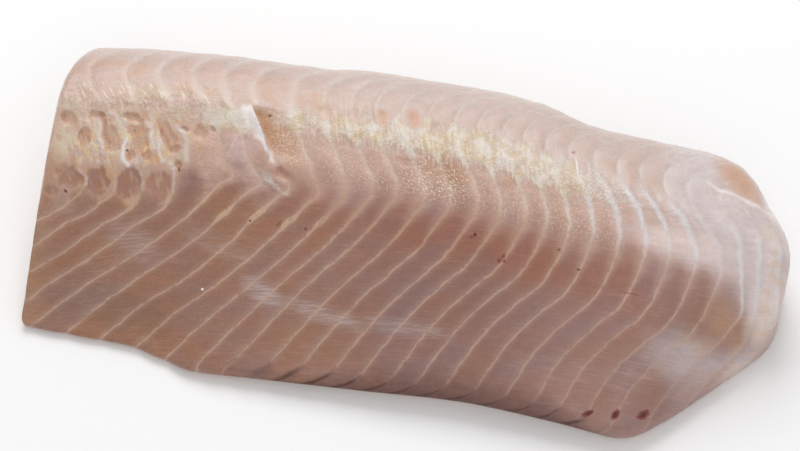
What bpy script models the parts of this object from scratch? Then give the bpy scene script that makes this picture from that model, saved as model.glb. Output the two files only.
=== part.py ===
"""Sturgeon fillet: a thick, skinless side of fish, cut square at its left end and trimmed on a slant at its right end.

It lies flat on its skin side. +X runs along the fish from the square cut to the slanted one, -Y is the thin belly
edge, +Y the thick back, and +Z is up. The origin is the middle of the footprint, at the surface it lies on.

A place on the skin is given by x and by girth: the run over the section from the fat line, positive down the flank
to the belly edge and negative over the loin to the back.
"""

import math

import bmesh
import bpy
import numpy as np
from mathutils import Vector
from mathutils.geometry import delaunay_2d_cdt

# Driving dimensions
LENGTH = 0.300
WIDTH = 0.138
THICKNESS = 0.0475

# Sizes of the smaller forms
MM = 0.001
SQUARE_CUT_ROUND = 2.5 * MM
SLANT_CUT_ROUND = 7 * MM
SQUARE_CUT_SKEW = 0.095
SQUARE_CUT_LEAN = 0.055
SEGMENT_CROWN = 0.6 * MM
FAT_RIDGE_HEIGHT = 1.0 * MM
FAT_RIDGE_HALF_WIDTH = 6 * MM
TORN_DEPTH = 0.8 * MM
PIT_DEPTH = 2.0 * MM
SLIT_DEPTH = 2.5 * MM
DENT_DEPTH = 1.0 * MM
VESSEL_DEPTH = 1.5 * MM
KNOT_HEIGHT = 1.0 * MM

# Colour (linear) and roughness of the moist flesh
FLESH_COLOUR = (0.45, 0.30, 0.24, 1.0)
FLESH_ROUGHNESS = 0.4

# Plan and side outlines: (share of LENGTH from the middle, share of WIDTH or THICKNESS)
BELLY_EDGE = (
    (-0.500, -0.470), (-0.350, -0.466), (-0.290, -0.490), (-0.245, -0.512), (-0.165, -0.500), (-0.010, -0.472),
    (0.145, -0.445), (0.250, -0.452), (0.320, -0.462), (0.340, -0.450), (0.380, -0.375), (0.425, -0.262),
    (0.465, -0.155), (0.485, -0.105), (0.500, -0.080),
)
BACK_EDGE = (
    (-0.500, 0.270), (-0.488, 0.340), (-0.466, 0.392), (-0.385, 0.420), (-0.275, 0.443), (-0.165, 0.457),
    (-0.080, 0.487), (0.080, 0.492), (0.140, 0.480), (0.215, 0.430), (0.280, 0.422), (0.360, 0.424),
    (0.410, 0.406), (0.440, 0.352), (0.465, 0.265), (0.485, 0.205), (0.500, 0.165),
)
FAT_LINE = ((-0.500, 0.100), (-0.430, 0.116), (-0.295, 0.163), (-0.100, 0.150), (0.070, 0.148), (0.245, 0.116),
            (0.380, 0.077), (0.500, 0.060))
CREST_HEIGHT = ((-0.500, 0.955), (-0.350, 0.985), (-0.100, 1.000), (0.200, 0.985), (0.380, 0.930), (0.500, 0.780))
BELLY_RIM = ((-0.500, 0.070), (-0.300, 0.075), (-0.220, 0.120), (-0.080, 0.175), (0.150, 0.250), (0.310, 0.215),
             (0.400, 0.150), (0.500, 0.170))

# Borders between muscle segments, in mm: their x where they cross girth 40, in order along the fish
BORDERS = (-172, -161, -150, -138, -125, -110, -96.5, -83.5, -71.5, -59.5, -46, -34.5, -24.5, -15, -3, 8, 19.5,
           29.5, 40, 49, 58.5, 68.5, 79, 89, 98, 108, 117.5, 128.5, 137, 145, 153, 161, 169, 177)
# How far a border has run back at each girth, in mm: the girth, then one value for a border at each of SWEEP_AT
SWEEP = (
    (-48, -8, -8, -9, -12, -9, -8, -8, -8), (-40, 1, 1, -1, -7, -2, -1, -1, -1), (-33, 9, 8, 5.5, 0, 3, 4, 4, 4),
    (-25, 13, 12, 10.5, 5, 9, 10, 9, 8), (-18, 15, 14, 12, 6, 11, 12.5, 10.5, 9), (-12, 13, 12, 11, 4.5, 9.5, 11, 8, 6),
    (-6, 10, 8, 9, 2.5, 5.5, 6.5, 3, 1), (0, 7, 3, 5.5, 0, 1, 0, 0, 0), (10, 5, -2.5, 0, -7, -4, -6, -3, -1.5),
    (15, 4, -5.5, -3, -10.5, -5, -6.5, -4, -2.3), (20, 3, -8, -8, -11, -5, -6, -5.5, -3),
    (25, 1.5, -12, -12, -8.5, -4.5, -5, -6.5, -3.3), (30, -0.5, -7, -8, -6, -3.5, -4, -5, -3),
    (40, 0, 0, 0, 0, 0, 0, 0, 0), (50, 14, 9.5, 7, 8, 7.5, 7.5, 7, 6), (60, 26.5, 22, 15.5, 16.5, 14.5, 14, 13, 12),
    (70, 41, 37.5, 26, 24, 20, 19, 18, 17), (80, 53, 50.5, 40, 31, 24, 22, 21, 20),
    (100, 75, 73, 62, 45, 32, 28, 27, 25),
)
SWEEP_AT = (-100, -83, -60, -20, 72, 118, 128.5, 137)

# Spots in mm: x, girth, half length, half width, and tilt in degrees from +x towards the belly
PITS = (
    (-132.5, 3.8, 4.2, 2.1, 5), (-117.5, 4.8, 5.0, 2.2, 22), (-135.3, 13.5, 3.8, 3.1, 60), (-125.3, 13, 8.0, 3.3, 57),
    (-113.3, 13, 7.2, 3.4, 53), (-102, 11.5, 7.2, 2.8, 57), (-96.5, 17, 2.9, 2.1, 30), (-88.5, 10, 3.8, 3.2, 20),
    (-95.8, 24, 3.4, 2.0, 50), (-114.5, 21, 3.2, 2.0, 60), (-138, 30.3, 5.2, 4.7, 0), (-126.3, 31, 5.4, 4.8, 70),
    (-113.8, 31, 5.6, 4.7, 80), (-101.3, 32.7, 6.0, 5.7, 0), (-51.5, 20, 5.2, 2.8, 15),
)
DENTS = (
    (-40, -10, 4, 4, 0), (-28.5, -11, 4, 3.5, 90), (-18, -12.5, 4.5, 3.5, 90), (-5, -14, 4.5, 3.5, 90),
    (5, -12, 4, 3, 90), (-4, 5, 6, 3.5, 0), (63, 14.5, 4, 3, 0), (127, -26, 8, 4, 0),
)
VESSELS = ((85, 82.5, 2.4, 2.2, 0), (95.5, 79.5, 2.4, 2.2, 90), (105.5, 75.5, 2.8, 2.4, 90))
KNOTS = (
    (-131, 37, 4, 2.6, 0), (-119.5, 37, 4, 2.8, 0), (-109, 39, 3.2, 3, 0), (-95, 38.5, 3.2, 3, 0),
    (-83.5, 38, 4, 2.4, -45), (-71.5, 40.5, 4, 2.6, -45), (-58.5, 40, 4, 3, -45), (-45.5, 38, 4.6, 2.6, -20),
)
TORN = (-117, 19.5, 36, 25, 0)
SLIT = ((-10, -73), (-6, -70), (0, -66), (6, -62), (15, -57), (20, -53))
SLIT_RUNS = (-7, 17)
SLIT_SPREAD = 7 * MM

# Mesh: (x from, x to, girth from, girth to, spacing) of the fine patches in mm, then the rows and rings elsewhere
FINE_PATCHES = ((-146, -84, -2, 45, 2.0), (-73, -43, -9, 25, 2.0), (81, 109, 72, 85, 1.5))
ROWS_IN_A_SEGMENT = 4
GIRTH_LEVELS = (-62, -52, -44, -38, -33, -28, -23, -18, -13, -8, -3, 2, 7, 12, 17, 22, 27, 32, 37, 42, 47, 52, 57, 62,
                67, 72, 77, 82, 86, 90, 94)
SKIN_STATIONS = 62
POINTS_OVER_TOP = 44
POINTS_UNDERNEATH = 9
CORNER_STATIONS = 4
CAP_SCALES = (0.86, 0.62, 0.30, 0.0)
CLEAR_OF_EDGE = 1.6 * MM
EDGE_ROWS = (1.8 * MM, 3.8 * MM, 6.4 * MM)
CLOSER_AT_BELLY_EDGE = 2.5


def smooth_through(points, at):
    """Value at each place of a smooth curve through (place, value) points, with no overshoot between them."""
    place, value = np.array(points, float).T
    gap = np.diff(place)
    slope = np.diff(value) / gap
    tangent = np.concatenate([slope[:1], np.zeros(len(gap) - 1), slope[-1:]])
    same_way = slope[:-1] * slope[1:] > 0
    harmonic = 2 * slope[:-1] * slope[1:] / np.where(same_way, slope[:-1] + slope[1:], 1)
    tangent[1:-1] = np.where(same_way, harmonic, 0)
    k = np.clip(np.searchsorted(place, at) - 1, 0, len(gap) - 1)
    u = np.clip((at - place[k]) / gap[k], 0, 1)
    return (
        value[k] * (1 + 2 * u) * (1 - u) ** 2
        + value[k + 1] * u ** 2 * (3 - 2 * u)
        + gap[k] * (tangent[k] * u * (1 - u) ** 2 - tangent[k + 1] * u ** 2 * (1 - u))
    )


def smooth_step(start, end, at):
    u = np.clip((at - start) / (end - start), 0, 1)
    return u * u * (3 - 2 * u)


def section_cage(x):
    """Control points (y, z) of the section at each x, from the belly's underside up over the back and down."""
    share = x / LENGTH
    front = WIDTH * smooth_through(BELLY_EDGE, share)
    back = WIDTH * smooth_through(BACK_EDGE, share)
    fat = WIDTH * smooth_through(FAT_LINE, share)
    top = THICKNESS * smooth_through(CREST_HEIGHT, share)
    rim = THICKNESS * smooth_through(BELLY_RIM, share)
    flank = fat - front
    loin = back - fat
    ground = 0 * x
    return np.array([
        (front + 0.09 * flank, ground),
        (front + 0.020 * flank, ground),
        (front, 0.40 * rim),
        (front + 0.004 * flank, 1.00 * rim),
        (front + 0.050 * flank, 1.22 * rim),
        (front + 0.23 * flank, rim + 0.27 * (top - rim)),
        (front + 0.45 * flank, rim + 0.54 * (top - rim)),
        (front + 0.68 * flank, rim + 0.79 * (top - rim)),
        (front + 0.87 * flank, rim + 0.93 * (top - rim)),
        (fat, 0.985 * top),
        (fat + 0.24 * loin, 1.012 * top),
        (fat + 0.52 * loin, 0.985 * top),
        (fat + 0.78 * loin, 0.910 * top),
        (fat + 0.95 * loin, 0.780 * top),
        (back + 0.03 * loin, 0.520 * top),
        (back - 0.01 * loin, 0.190 * top),
        (back - 0.10 * loin, ground),
        (back - 0.30 * loin, ground),
        (fat, ground),
        (front + 0.45 * flank, ground),
    ])


CAGE_POINTS = len(section_cage(np.zeros(1)))
SKIN_FROM, FAT_AT, SKIN_TO = 1.0, 9.0, 16.0


def on_section(x, place):
    """(y, z) on the closed B-spline section at each x, at a place counted in control points."""
    cage = section_cage(x)
    first = np.floor(place).astype(int)
    u = place - first
    here = np.arange(len(x))
    corner = [cage[(first + k) % CAGE_POINTS, :, here].T for k in (-1, 0, 1, 2)]
    return (
        corner[0] * (1 - u) ** 3
        + corner[1] * (3 * u ** 3 - 6 * u ** 2 + 4)
        + corner[2] * (-3 * u ** 3 + 3 * u ** 2 + 3 * u + 1)
        + corner[3] * u ** 3
    ) / 6


def girth_table():
    """Girth at evenly spaced x and places, to be read by girth_at and place_at."""
    x = np.linspace(-LENGTH / 2, LENGTH / 2, 101)
    place = np.linspace(SKIN_FROM, SKIN_TO, 301)
    lines = np.array([on_section(np.full(len(place), at), place) for at in x])
    steps = np.hypot(np.diff(lines[:, 0]), np.diff(lines[:, 1]))
    run = np.pad(np.cumsum(steps, axis=1), ((0, 0), (1, 0)))
    fat = run[:, np.argmin(abs(place - FAT_AT))]
    return x, place, fat[:, None] - run


TABLE_X, TABLE_PLACE, TABLE_GIRTH = girth_table()


def table_row(x):
    """The table row before each x, and how far x is on towards the next."""
    row = (x - TABLE_X[0]) / (TABLE_X[1] - TABLE_X[0])
    first = np.clip(np.floor(row).astype(int), 0, len(TABLE_X) - 2)
    return first, row - first


def girth_at(x, place):
    first, share = table_row(x)
    column = np.clip((place - SKIN_FROM) / (TABLE_PLACE[1] - TABLE_PLACE[0]), 0, len(TABLE_PLACE) - 1.001)
    left = np.floor(column).astype(int)
    u = column - left
    near = TABLE_GIRTH[first, left] * (1 - u) + TABLE_GIRTH[first, left + 1] * u
    far = TABLE_GIRTH[first + 1, left] * (1 - u) + TABLE_GIRTH[first + 1, left + 1] * u
    return near * (1 - share) + far * share


def place_at(x, girth):
    """The section place with this girth at x. Beyond the skin's two edges it is the edge's own."""
    first, share = table_row(x)
    near, far = (
        np.array([np.interp(g, TABLE_GIRTH[row, ::-1], TABLE_PLACE[::-1]) for g, row in zip(girth, rows)])
        for rows in (first, first + 1)
    )
    return near * (1 - share) + far * share


def sweeps(girth):
    """How far (mm) a border at each of SWEEP_AT has run back at each girth (mm)."""
    level, *columns = np.array(SWEEP, float).T
    return np.array([smooth_through(np.column_stack([level, column]), girth) for column in columns])


def border_x(number, girth):
    """x of the border with this number at this girth. Fractions lie in the segment between two borders."""
    border = np.interp(number, np.arange(len(BORDERS)), BORDERS)
    run = np.array([np.interp(b, SWEEP_AT, column) for b, column in zip(border, sweeps(girth / MM).T)])
    return (border - run) * MM


def segment_number(x, girth):
    """Number of the segment at a place on the skin: whole on a border, fractions between two borders."""
    run = sweeps(girth / MM)
    crossed = np.array(SWEEP_AT)[:, None] - run
    border = np.array([np.interp(at, knots, SWEEP_AT) for at, knots in zip(x / MM, crossed.T)])
    border += np.minimum(x / MM - crossed[0], 0) + np.maximum(x / MM - crossed[-1], 0)
    return np.interp(border, BORDERS, np.arange(len(BORDERS)))


def spot(x, girth, oval):
    """1 in the middle of an oval spot, falling smoothly to 0 at its rim."""
    middle_x, middle_girth, half_length, half_width, tilt = oval
    turn = math.radians(tilt)
    ahead, across = x / MM - middle_x, girth / MM - middle_girth
    along = ahead * math.cos(turn) + across * math.sin(turn)
    aside = across * math.cos(turn) - ahead * math.sin(turn)
    return 1 - smooth_step(0.25, 1.0, np.hypot(along / half_length, aside / half_width))


def crowned_segments(x, girth):
    share = segment_number(x, girth) % 1
    strength = smooth_through(((-70, 0), (-45, 0.4), (-25, 0.9), (-6, 0.4), (4, 0.5), (18, 1), (90, 1)), girth / MM)
    return SEGMENT_CROWN * strength * (4 * share * (1 - share)) ** 0.7


def fat_ridge(x, girth):
    lumps = 0.75 + 0.25 * np.cos(2 * math.pi * segment_number(x, girth))
    return FAT_RIDGE_HEIGHT * lumps * np.exp(-((girth + 2 * MM) / FAT_RIDGE_HALF_WIDTH) ** 2)


def slit(x, girth):
    """A cut with a sheer left side, its floor rising again to the right."""
    beyond = x - smooth_through(SLIT, girth / MM) * MM
    start, end = SLIT_RUNS
    open_here = smooth_step(start, start + 5, girth / MM) * (1 - smooth_step(end - 7, end, girth / MM))
    hollow = smooth_step(-0.6 * MM, 0.8 * MM, beyond) * np.exp(-np.clip(beyond, 0, None) / SLIT_SPREAD)
    return SLIT_DEPTH * open_here * hollow


def relief(x, girth):
    """Height of the flesh over the smooth section."""
    height = crowned_segments(x, girth) + fat_ridge(x, girth) - slit(x, girth)
    height -= TORN_DEPTH * spot(x, girth, TORN)
    for spots, rise in ((PITS, -PIT_DEPTH), (DENTS, -DENT_DEPTH), (VESSELS, -VESSEL_DEPTH), (KNOTS, KNOT_HEIGHT)):
        for each in spots:
            height += rise * spot(x, girth, each)
    return height


def skin_points(x, place, inset=0.0, scale=1.0):
    """Points of the body at each x and place, drawn in by `inset` and then scaled about the section's middle."""
    flat = on_section(x, place)
    ahead = on_section(x, place + 0.02) - on_section(x, place - 0.02)
    outward = np.array([-ahead[1], ahead[0]]) / np.hypot(*ahead)
    inside = smooth_step(SKIN_FROM + 0.6, SKIN_FROM + 1.6, place) * (1 - smooth_step(SKIN_TO - 1.2, SKIN_TO, place))
    section = flat + outward * relief(x, girth_at(x, place)) * inside
    if inset > 0:
        low, high = flat.min(axis=1)[:, None], flat.max(axis=1)[:, None]
        middle = (low + high) / 2
        section = middle + (section - middle) * scale * (1 - inset / ((high - low) / 2))
    across, height = section
    near_square_cut = smooth_through(((-0.5, 1.0), (0.1, 0.0), (0.5, 0.0)), x / LENGTH)
    turned = SQUARE_CUT_SKEW * (0.28 * WIDTH - across) + SQUARE_CUT_LEAN * height
    return np.column_stack([x + near_square_cut * turned, across, height])


def spread(start, end, count):
    """Section places from start up to end, at even distances on the middle section, but closer at the belly edge."""
    fine = np.linspace(start, end, 40 * count)
    line = on_section(np.zeros(len(fine)), fine)
    run = np.hypot(*np.diff(line, axis=1)) * np.where(fine[1:] < SKIN_FROM + 2, CLOSER_AT_BELLY_EDGE, 1)
    run = np.concatenate([[0], np.cumsum(run)])
    return np.interp(np.linspace(0, run[-1], count + 1), run, fine)


def in_patch(x, girth, patch, wider=0.0):
    left, right, low, high, _ = patch
    along = (x / MM > left - wider) & (x / MM < right + wider)
    return along & (girth / MM > low - wider) & (girth / MM < high + wider)


def inside_skin(x, girth, skin_ends, clear_of_belly_edge=CLEAR_OF_EDGE):
    """Whether a point is clear of the skin's border, so that no sliver is left beside it."""
    clear = (x > skin_ends[0] + CLEAR_OF_EDGE) & (x < skin_ends[1] - CLEAR_OF_EDGE)
    least, most = girth_at(x, np.full(len(x), SKIN_TO)), girth_at(x, np.full(len(x), SKIN_FROM))
    return clear & (girth > least + CLEAR_OF_EDGE) & (girth < most - clear_of_belly_edge)


def clear_of_patches(x, girth):
    return ~np.any([in_patch(x, girth, patch, wider=0.7) for patch in FINE_PATCHES], axis=0)


def edge_rows(stations):
    """Points (x, place) in staggered rows beside the belly edge, where the skin turns under."""
    points = []
    half_step = (stations[1] - stations[0]) / 2
    for row, run in enumerate(EDGE_ROWS):
        x = stations[1:-1] + half_step * (1 - row % 2)
        girth = girth_at(x, np.full(len(x), SKIN_FROM)) - run
        keep = inside_skin(x, girth, (stations[0], stations[-1])) & clear_of_patches(x, girth)
        points.extend(zip(x[keep], place_at(x, girth)[keep]))
    return points


def border_rows(skin_ends):
    """Points (x, place) along every segment border and between the borders, and the edges along the borders."""
    girth = np.array(GIRTH_LEVELS) * MM
    points, edges = [], []
    for row in range(ROWS_IN_A_SEGMENT * (len(BORDERS) - 1) + 1):
        x = np.clip(border_x(np.full(len(girth), row / ROWS_IN_A_SEGMENT), girth), *skin_ends)
        place = place_at(x, girth)
        keep = inside_skin(x, girth, skin_ends, EDGE_ROWS[-1] + CLEAR_OF_EDGE) & clear_of_patches(x, girth)
        last = None
        for level in range(len(girth)):
            here = len(points) if keep[level] else None
            if keep[level]:
                points.append((x[level], place[level]))
            if row % ROWS_IN_A_SEGMENT == 0 and here is not None and last is not None:
                edges.append((last, here))
            last = here
    return points, edges


def patch_points(patch, skin_ends):
    """Points (x, place) of a fine patch, in staggered rows."""
    left, right, low, high, spacing = patch
    points = []
    for row, girth in enumerate(np.arange(low, high, spacing * math.sqrt(0.75))):
        x = np.arange(left + spacing * (row % 2) / 2, right, spacing) * MM
        girths = np.full(len(x), girth * MM)
        place = place_at(x, girths)
        keep = inside_skin(x, girths, skin_ends)
        points.extend(zip(x[keep], place[keep]))
    return points


def add_sheet(body, places, stations):
    """The outer skin between the two end rounds: triangles over scattered points, flattened to (x, place)."""
    ends = stations[0], stations[-1]
    outline = [(x, SKIN_FROM) for x in stations]
    outline += [(ends[1], place) for place in places[1:]]
    outline += [(x, SKIN_TO) for x in stations[-2::-1]]
    outline += [(ends[0], place) for place in places[-2:0:-1]]
    rows, row_edges = border_rows(ends)
    points = outline + rows + edge_rows(stations)
    for patch in FINE_PATCHES:
        points += patch_points(patch, ends)
    edges = [(k, (k + 1) % len(outline)) for k in range(len(outline))]
    edges += [(a + len(outline), b + len(outline)) for a, b in row_edges]
    run_per_place = (TABLE_GIRTH[:, 0] - TABLE_GIRTH[:, -1]).mean() / (SKIN_TO - SKIN_FROM)
    flat = [Vector((x, place * run_per_place)) for x, place in points]
    triangles, sources = [delaunay_2d_cdt(flat, edges, [], 0, 1e-7)[k] for k in (2, 3)]
    x, place = np.array(points).T
    corners = [body.verts.new(point) for point in skin_points(x, place)]
    for triangle in triangles:
        body.faces.new([corners[sources[k][0]] for k in triangle])


def add_strip(body, rows):
    """Quads between rows of points."""
    corners = [[body.verts.new(point) for point in row] for row in rows]
    for here, there in zip(corners, corners[1:]):
        for k in range(len(here) - 1):
            body.faces.new((here[k], there[k], there[k + 1], here[k + 1]))


def add_end(body, end, rounding, places):
    """The rounded rim and the flat face of one cut end, in rings that close at its middle."""
    inward = -math.copysign(1, end)
    turns = np.linspace(0, math.pi / 2, CORNER_STATIONS)
    rings = [(end + inward * rounding * (1 - math.cos(turn)), rounding * (1 - math.sin(turn)), 1.0) for turn in turns]
    rings = rings[::-1] + [(end, rounding, scale) for scale in CAP_SCALES]
    rows = [skin_points(np.full(len(places), x), places, max(inset, 1e-12), scale) for x, inset, scale in rings]
    add_strip(body, rows if end > 0 else rows[::-1])


def fillet_mesh():
    over = spread(SKIN_FROM, SKIN_TO, POINTS_OVER_TOP)
    under = spread(SKIN_TO, SKIN_FROM + CAGE_POINTS, POINTS_UNDERNEATH)
    around = np.concatenate([over, under[1:]])
    stations = np.linspace(-LENGTH / 2 + SQUARE_CUT_ROUND, LENGTH / 2 - SLANT_CUT_ROUND, SKIN_STATIONS)
    body = bmesh.new()
    add_sheet(body, over, stations)
    add_strip(body, [skin_points(np.full(len(under), x), under) for x in stations])
    add_end(body, -LENGTH / 2, SQUARE_CUT_ROUND, around)
    add_end(body, LENGTH / 2, SLANT_CUT_ROUND, around)
    bmesh.ops.remove_doubles(body, verts=body.verts, dist=0.02 * MM)
    corners = np.array([corner.co for corner in body.verts])
    middle = (corners.min(axis=0) + corners.max(axis=0)) / 2
    bmesh.ops.translate(body, verts=body.verts, vec=(-middle[0], -middle[1], -corners[:, 2].min()))
    mesh = bpy.data.meshes.new("fillet")
    body.to_mesh(mesh)
    body.free()
    return mesh


def clear_scene():
    for item in list(bpy.data.objects):
        bpy.data.objects.remove(item, do_unlink=True)


def flesh_material():
    material = bpy.data.materials.new("sturgeon_flesh")
    material.use_nodes = True
    shader = material.node_tree.nodes["Principled BSDF"]
    shader.inputs["Base Color"].default_value = FLESH_COLOUR
    shader.inputs["Roughness"].default_value = FLESH_ROUGHNESS
    shader.inputs["Metallic"].default_value = 0.0
    material.diffuse_color = FLESH_COLOUR
    material.roughness = FLESH_ROUGHNESS
    return material


def main():
    clear_scene()
    collection = bpy.data.collections.new("sturgeon_fillet")
    bpy.context.scene.collection.children.link(collection)
    mesh = fillet_mesh()
    mesh.materials.append(flesh_material())
    mesh.shade_smooth()
    collection.objects.link(bpy.data.objects.new("fillet", mesh))


main()
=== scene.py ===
"""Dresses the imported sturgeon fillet: a fine skin with its segments, fat and torn fillings, and moist flesh.

A place on the skin is x and girth in mm, as in the part's own source: girth is the run over the section
from the fat line, positive down the flank to the belly edge and negative over the loin to the back.
"""

import math

import bpy
import numpy as np
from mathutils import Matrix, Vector


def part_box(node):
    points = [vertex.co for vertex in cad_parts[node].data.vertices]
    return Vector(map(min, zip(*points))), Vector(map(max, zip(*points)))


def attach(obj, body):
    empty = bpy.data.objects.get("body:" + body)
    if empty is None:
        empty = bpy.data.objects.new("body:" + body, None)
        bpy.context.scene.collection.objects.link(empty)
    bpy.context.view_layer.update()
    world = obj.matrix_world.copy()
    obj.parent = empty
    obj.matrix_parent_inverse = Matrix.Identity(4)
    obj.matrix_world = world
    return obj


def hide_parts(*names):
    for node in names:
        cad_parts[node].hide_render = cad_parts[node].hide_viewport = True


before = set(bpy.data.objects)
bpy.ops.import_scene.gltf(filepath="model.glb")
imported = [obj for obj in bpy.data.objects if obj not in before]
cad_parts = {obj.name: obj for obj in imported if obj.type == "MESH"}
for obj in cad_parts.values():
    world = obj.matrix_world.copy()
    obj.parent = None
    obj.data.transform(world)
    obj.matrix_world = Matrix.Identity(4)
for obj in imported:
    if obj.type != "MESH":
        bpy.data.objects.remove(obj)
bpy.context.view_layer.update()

# The form, as in the part's own source
LENGTH = 0.300
WIDTH = 0.138
THICKNESS = 0.0475
MM = 0.001
SQUARE_CUT_ROUND = 2.5 * MM
SLANT_CUT_ROUND = 7 * MM
SQUARE_CUT_SKEW = 0.095
SQUARE_CUT_LEAN = 0.055
# Where the skewed cut leaves the end's place unchanged, as a share of the width
SQUARE_CUT_PIVOT = 0.28
# Edges and heights as shares of the length and of the width or thickness
BELLY_EDGE = (
    (-0.5, -0.47), (-0.35, -0.466), (-0.29, -0.49), (-0.245, -0.512), (-0.165, -0.5), (-0.01, -0.472),
    (0.145, -0.445), (0.25, -0.452), (0.32, -0.462), (0.34, -0.45), (0.38, -0.375), (0.425, -0.262),
    (0.465, -0.155), (0.485, -0.105), (0.5, -0.08),
)
BACK_EDGE = (
    (-0.5, 0.27), (-0.488, 0.34), (-0.466, 0.392), (-0.385, 0.42), (-0.275, 0.443), (-0.165, 0.457),
    (-0.08, 0.487), (0.08, 0.492), (0.14, 0.48), (0.215, 0.43), (0.28, 0.422), (0.36, 0.424), (0.41, 0.406),
    (0.44, 0.352), (0.465, 0.265), (0.485, 0.205), (0.5, 0.165),
)
FAT_LINE = (
    (-0.5, 0.1), (-0.43, 0.116), (-0.295, 0.163), (-0.1, 0.15), (0.07, 0.148), (0.245, 0.116), (0.38, 0.077),
    (0.5, 0.06),
)
CREST_HEIGHT = ((-0.5, 0.955), (-0.35, 0.985), (-0.1, 1.0), (0.2, 0.985), (0.38, 0.93), (0.5, 0.78))
BELLY_RIM = (
    (-0.5, 0.07), (-0.3, 0.075), (-0.22, 0.12), (-0.08, 0.175), (0.15, 0.25), (0.31, 0.215), (0.4, 0.15),
    (0.5, 0.17),
)
# Where the borders between segments cross the fat line, in mm
BORDERS = (
    -172, -161, -150, -138, -125, -110, -96.5, -83.5, -71.5, -59.5, -46, -34.5, -24.5, -15, -3, 8, 19.5, 29.5,
    40, 49, 58.5, 68.5, 79, 89, 98, 108, 117.5, 128.5, 137, 145, 153, 161, 169, 177,
)
# About the length of a segment, in mm
SEGMENT_LENGTH = 11
# How far a border has run back at each girth, in mm: the girth, then one value for a border at each of
# SWEEP_AT
SWEEP = (
    (-48, -8, -8, -9, -12, -9, -8, -8, -8), (-40, 1, 1, -1, -7, -2, -1, -1, -1),
    (-33, 9, 8, 5.5, 0, 3, 4, 4, 4), (-25, 13, 12, 10.5, 5, 9, 10, 9, 8),
    (-18, 15, 14, 12, 6, 11, 12.5, 10.5, 9), (-12, 13, 12, 11, 4.5, 9.5, 11, 8, 6),
    (-6, 10, 8, 9, 2.5, 5.5, 6.5, 3, 1), (0, 7, 3, 5.5, 0, 1, 0, 0, 0),
    (10, 5, -2.5, 0, -7, -4, -6, -3, -1.5), (15, 4, -5.5, -3, -10.5, -5, -6.5, -4, -2.3),
    (20, 3, -8, -8, -11, -5, -6, -5.5, -3), (25, 1.5, -12, -12, -8.5, -4.5, -5, -6.5, -3.3),
    (30, -0.5, -7, -8, -6, -3.5, -4, -5, -3), (40, 0, 0, 0, 0, 0, 0, 0, 0),
    (50, 14, 9.5, 7, 8, 7.5, 7.5, 7, 6), (60, 26.5, 22, 15.5, 16.5, 14.5, 14, 13, 12),
    (70, 41, 37.5, 26, 24, 20, 19, 18, 17), (80, 53, 50.5, 40, 31, 24, 22, 21, 20),
    (100, 75, 73, 62, 45, 32, 28, 27, 25),
)
SWEEP_AT = (-100, -83, -60, -20, 72, 118, 128.5, 137)

# Heights of the relief
SEGMENT_CROWN = 0.6 * MM
FAT_RIDGE_HEIGHT = 1.0 * MM
FAT_RIDGE_HALF_WIDTH = 6 * MM
TORN_DEPTH = 0.8 * MM
PIT_DEPTH = 0.75 * MM
WALL_HEIGHT = 0.4 * MM
SLIT_DEPTH = 2.5 * MM
SLIT_RISE = 0.7 * MM
DENT_DEPTH = 0.3 * MM
VESSEL_DEPTH = 1.2 * MM
KNOT_HEIGHT = 0.5 * MM
CREASE_DEPTH = 1.1 * MM

# How much the segments are crowned at each girth in mm
CROWNED = ((-70, 0), (-45, 0.4), (-25, 0.9), (-6, 0.4), (4, 0.5), (18, 1), (90, 1))

# Looks of the lines between segments at each girth in mm: half width and softness in mm, and strength
LINE_HALF_WIDTH = ((-60, 1.4), (-14, 1.4), (-4, 1.2), (6, 0.8), (20, 0.55), (34, 0.42), (90, 0.36))
LINE_SOFTNESS = ((-60, 2.2), (-14, 2.0), (-4, 1.0), (10, 0.6), (30, 0.4), (90, 0.4))
LINE_STRENGTH = ((-60, 0.1), (-30, 0.2), (-14, 0.25), (0, 0.55), (15, 0.6), (30, 0.75), (60, 0.66), (90, 0.6))
FAINT_BORDERS = (24, 26)
FORKED_BORDERS = (3, 4)

# Girth of the fat seam's upper and lower edges at each x, in mm
SEAM_UPPER = (
    (-150, -4), (-110, -2), (-70, -2), (-44, -10), (-20, -14), (0, -15), (30, -14), (50, -11), (90, -8),
    (115, -4),
)
SEAM_LOWER = ((-150, 4), (-100, 7), (-84, 8.5), (-68, 7), (-50, 0), (0, 0), (60, 3), (90, 3), (120, 2))

# Pits of the torn fillings in mm: x, girth, half length, half width, tilt in degrees from +x towards the
# belly, and how dark their floors are from 0 to 1
PITS = (
    (-132.5, 3.8, 4.6, 2.0, 3, 0.35), (-117.3, 4.8, 5.4, 2.1, 18, 0.25), (-135.5, 13.3, 4.2, 3.2, 70, 0.1),
    (-125.2, 12.6, 8.6, 3.9, 57, 0.1), (-113.3, 13.2, 7.8, 4.2, 53, 0.05), (-102, 11.5, 7.6, 3.4, 57, 0.15),
    (-96.8, 17.5, 2.6, 2.2, 30, 0.4), (-88.7, 9.4, 3.6, 3.4, 20, 0.15), (-95.6, 8.6, 2.0, 1.2, 30, 0.45),
    (-83.2, 6.6, 2.2, 1.3, 20, 0.3), (-95.6, 24, 3.2, 1.8, 55, 0.6), (-114.3, 20.5, 3.6, 1.9, 62, 0.1),
    (-143.5, 6.5, 3.8, 3.0, 40, 0.1), (-143, 27, 3.4, 2.2, -30, 0.3), (-108.6, 21, 2.6, 1.6, 60, 0.2),
    (-138, 30.5, 5.6, 5.2, 0, 0.8), (-126.8, 31, 6.2, 5.0, 70, 1.0), (-114, 31.4, 6.4, 5.4, 80, 1.0),
    (-101.3, 33, 6.6, 6.4, 0, 0.75), (-145.4, 36.5, 3.0, 2.8, 0, 0.45), (-51.5, 20, 5.6, 3.0, 12, 0.6),
)
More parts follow.
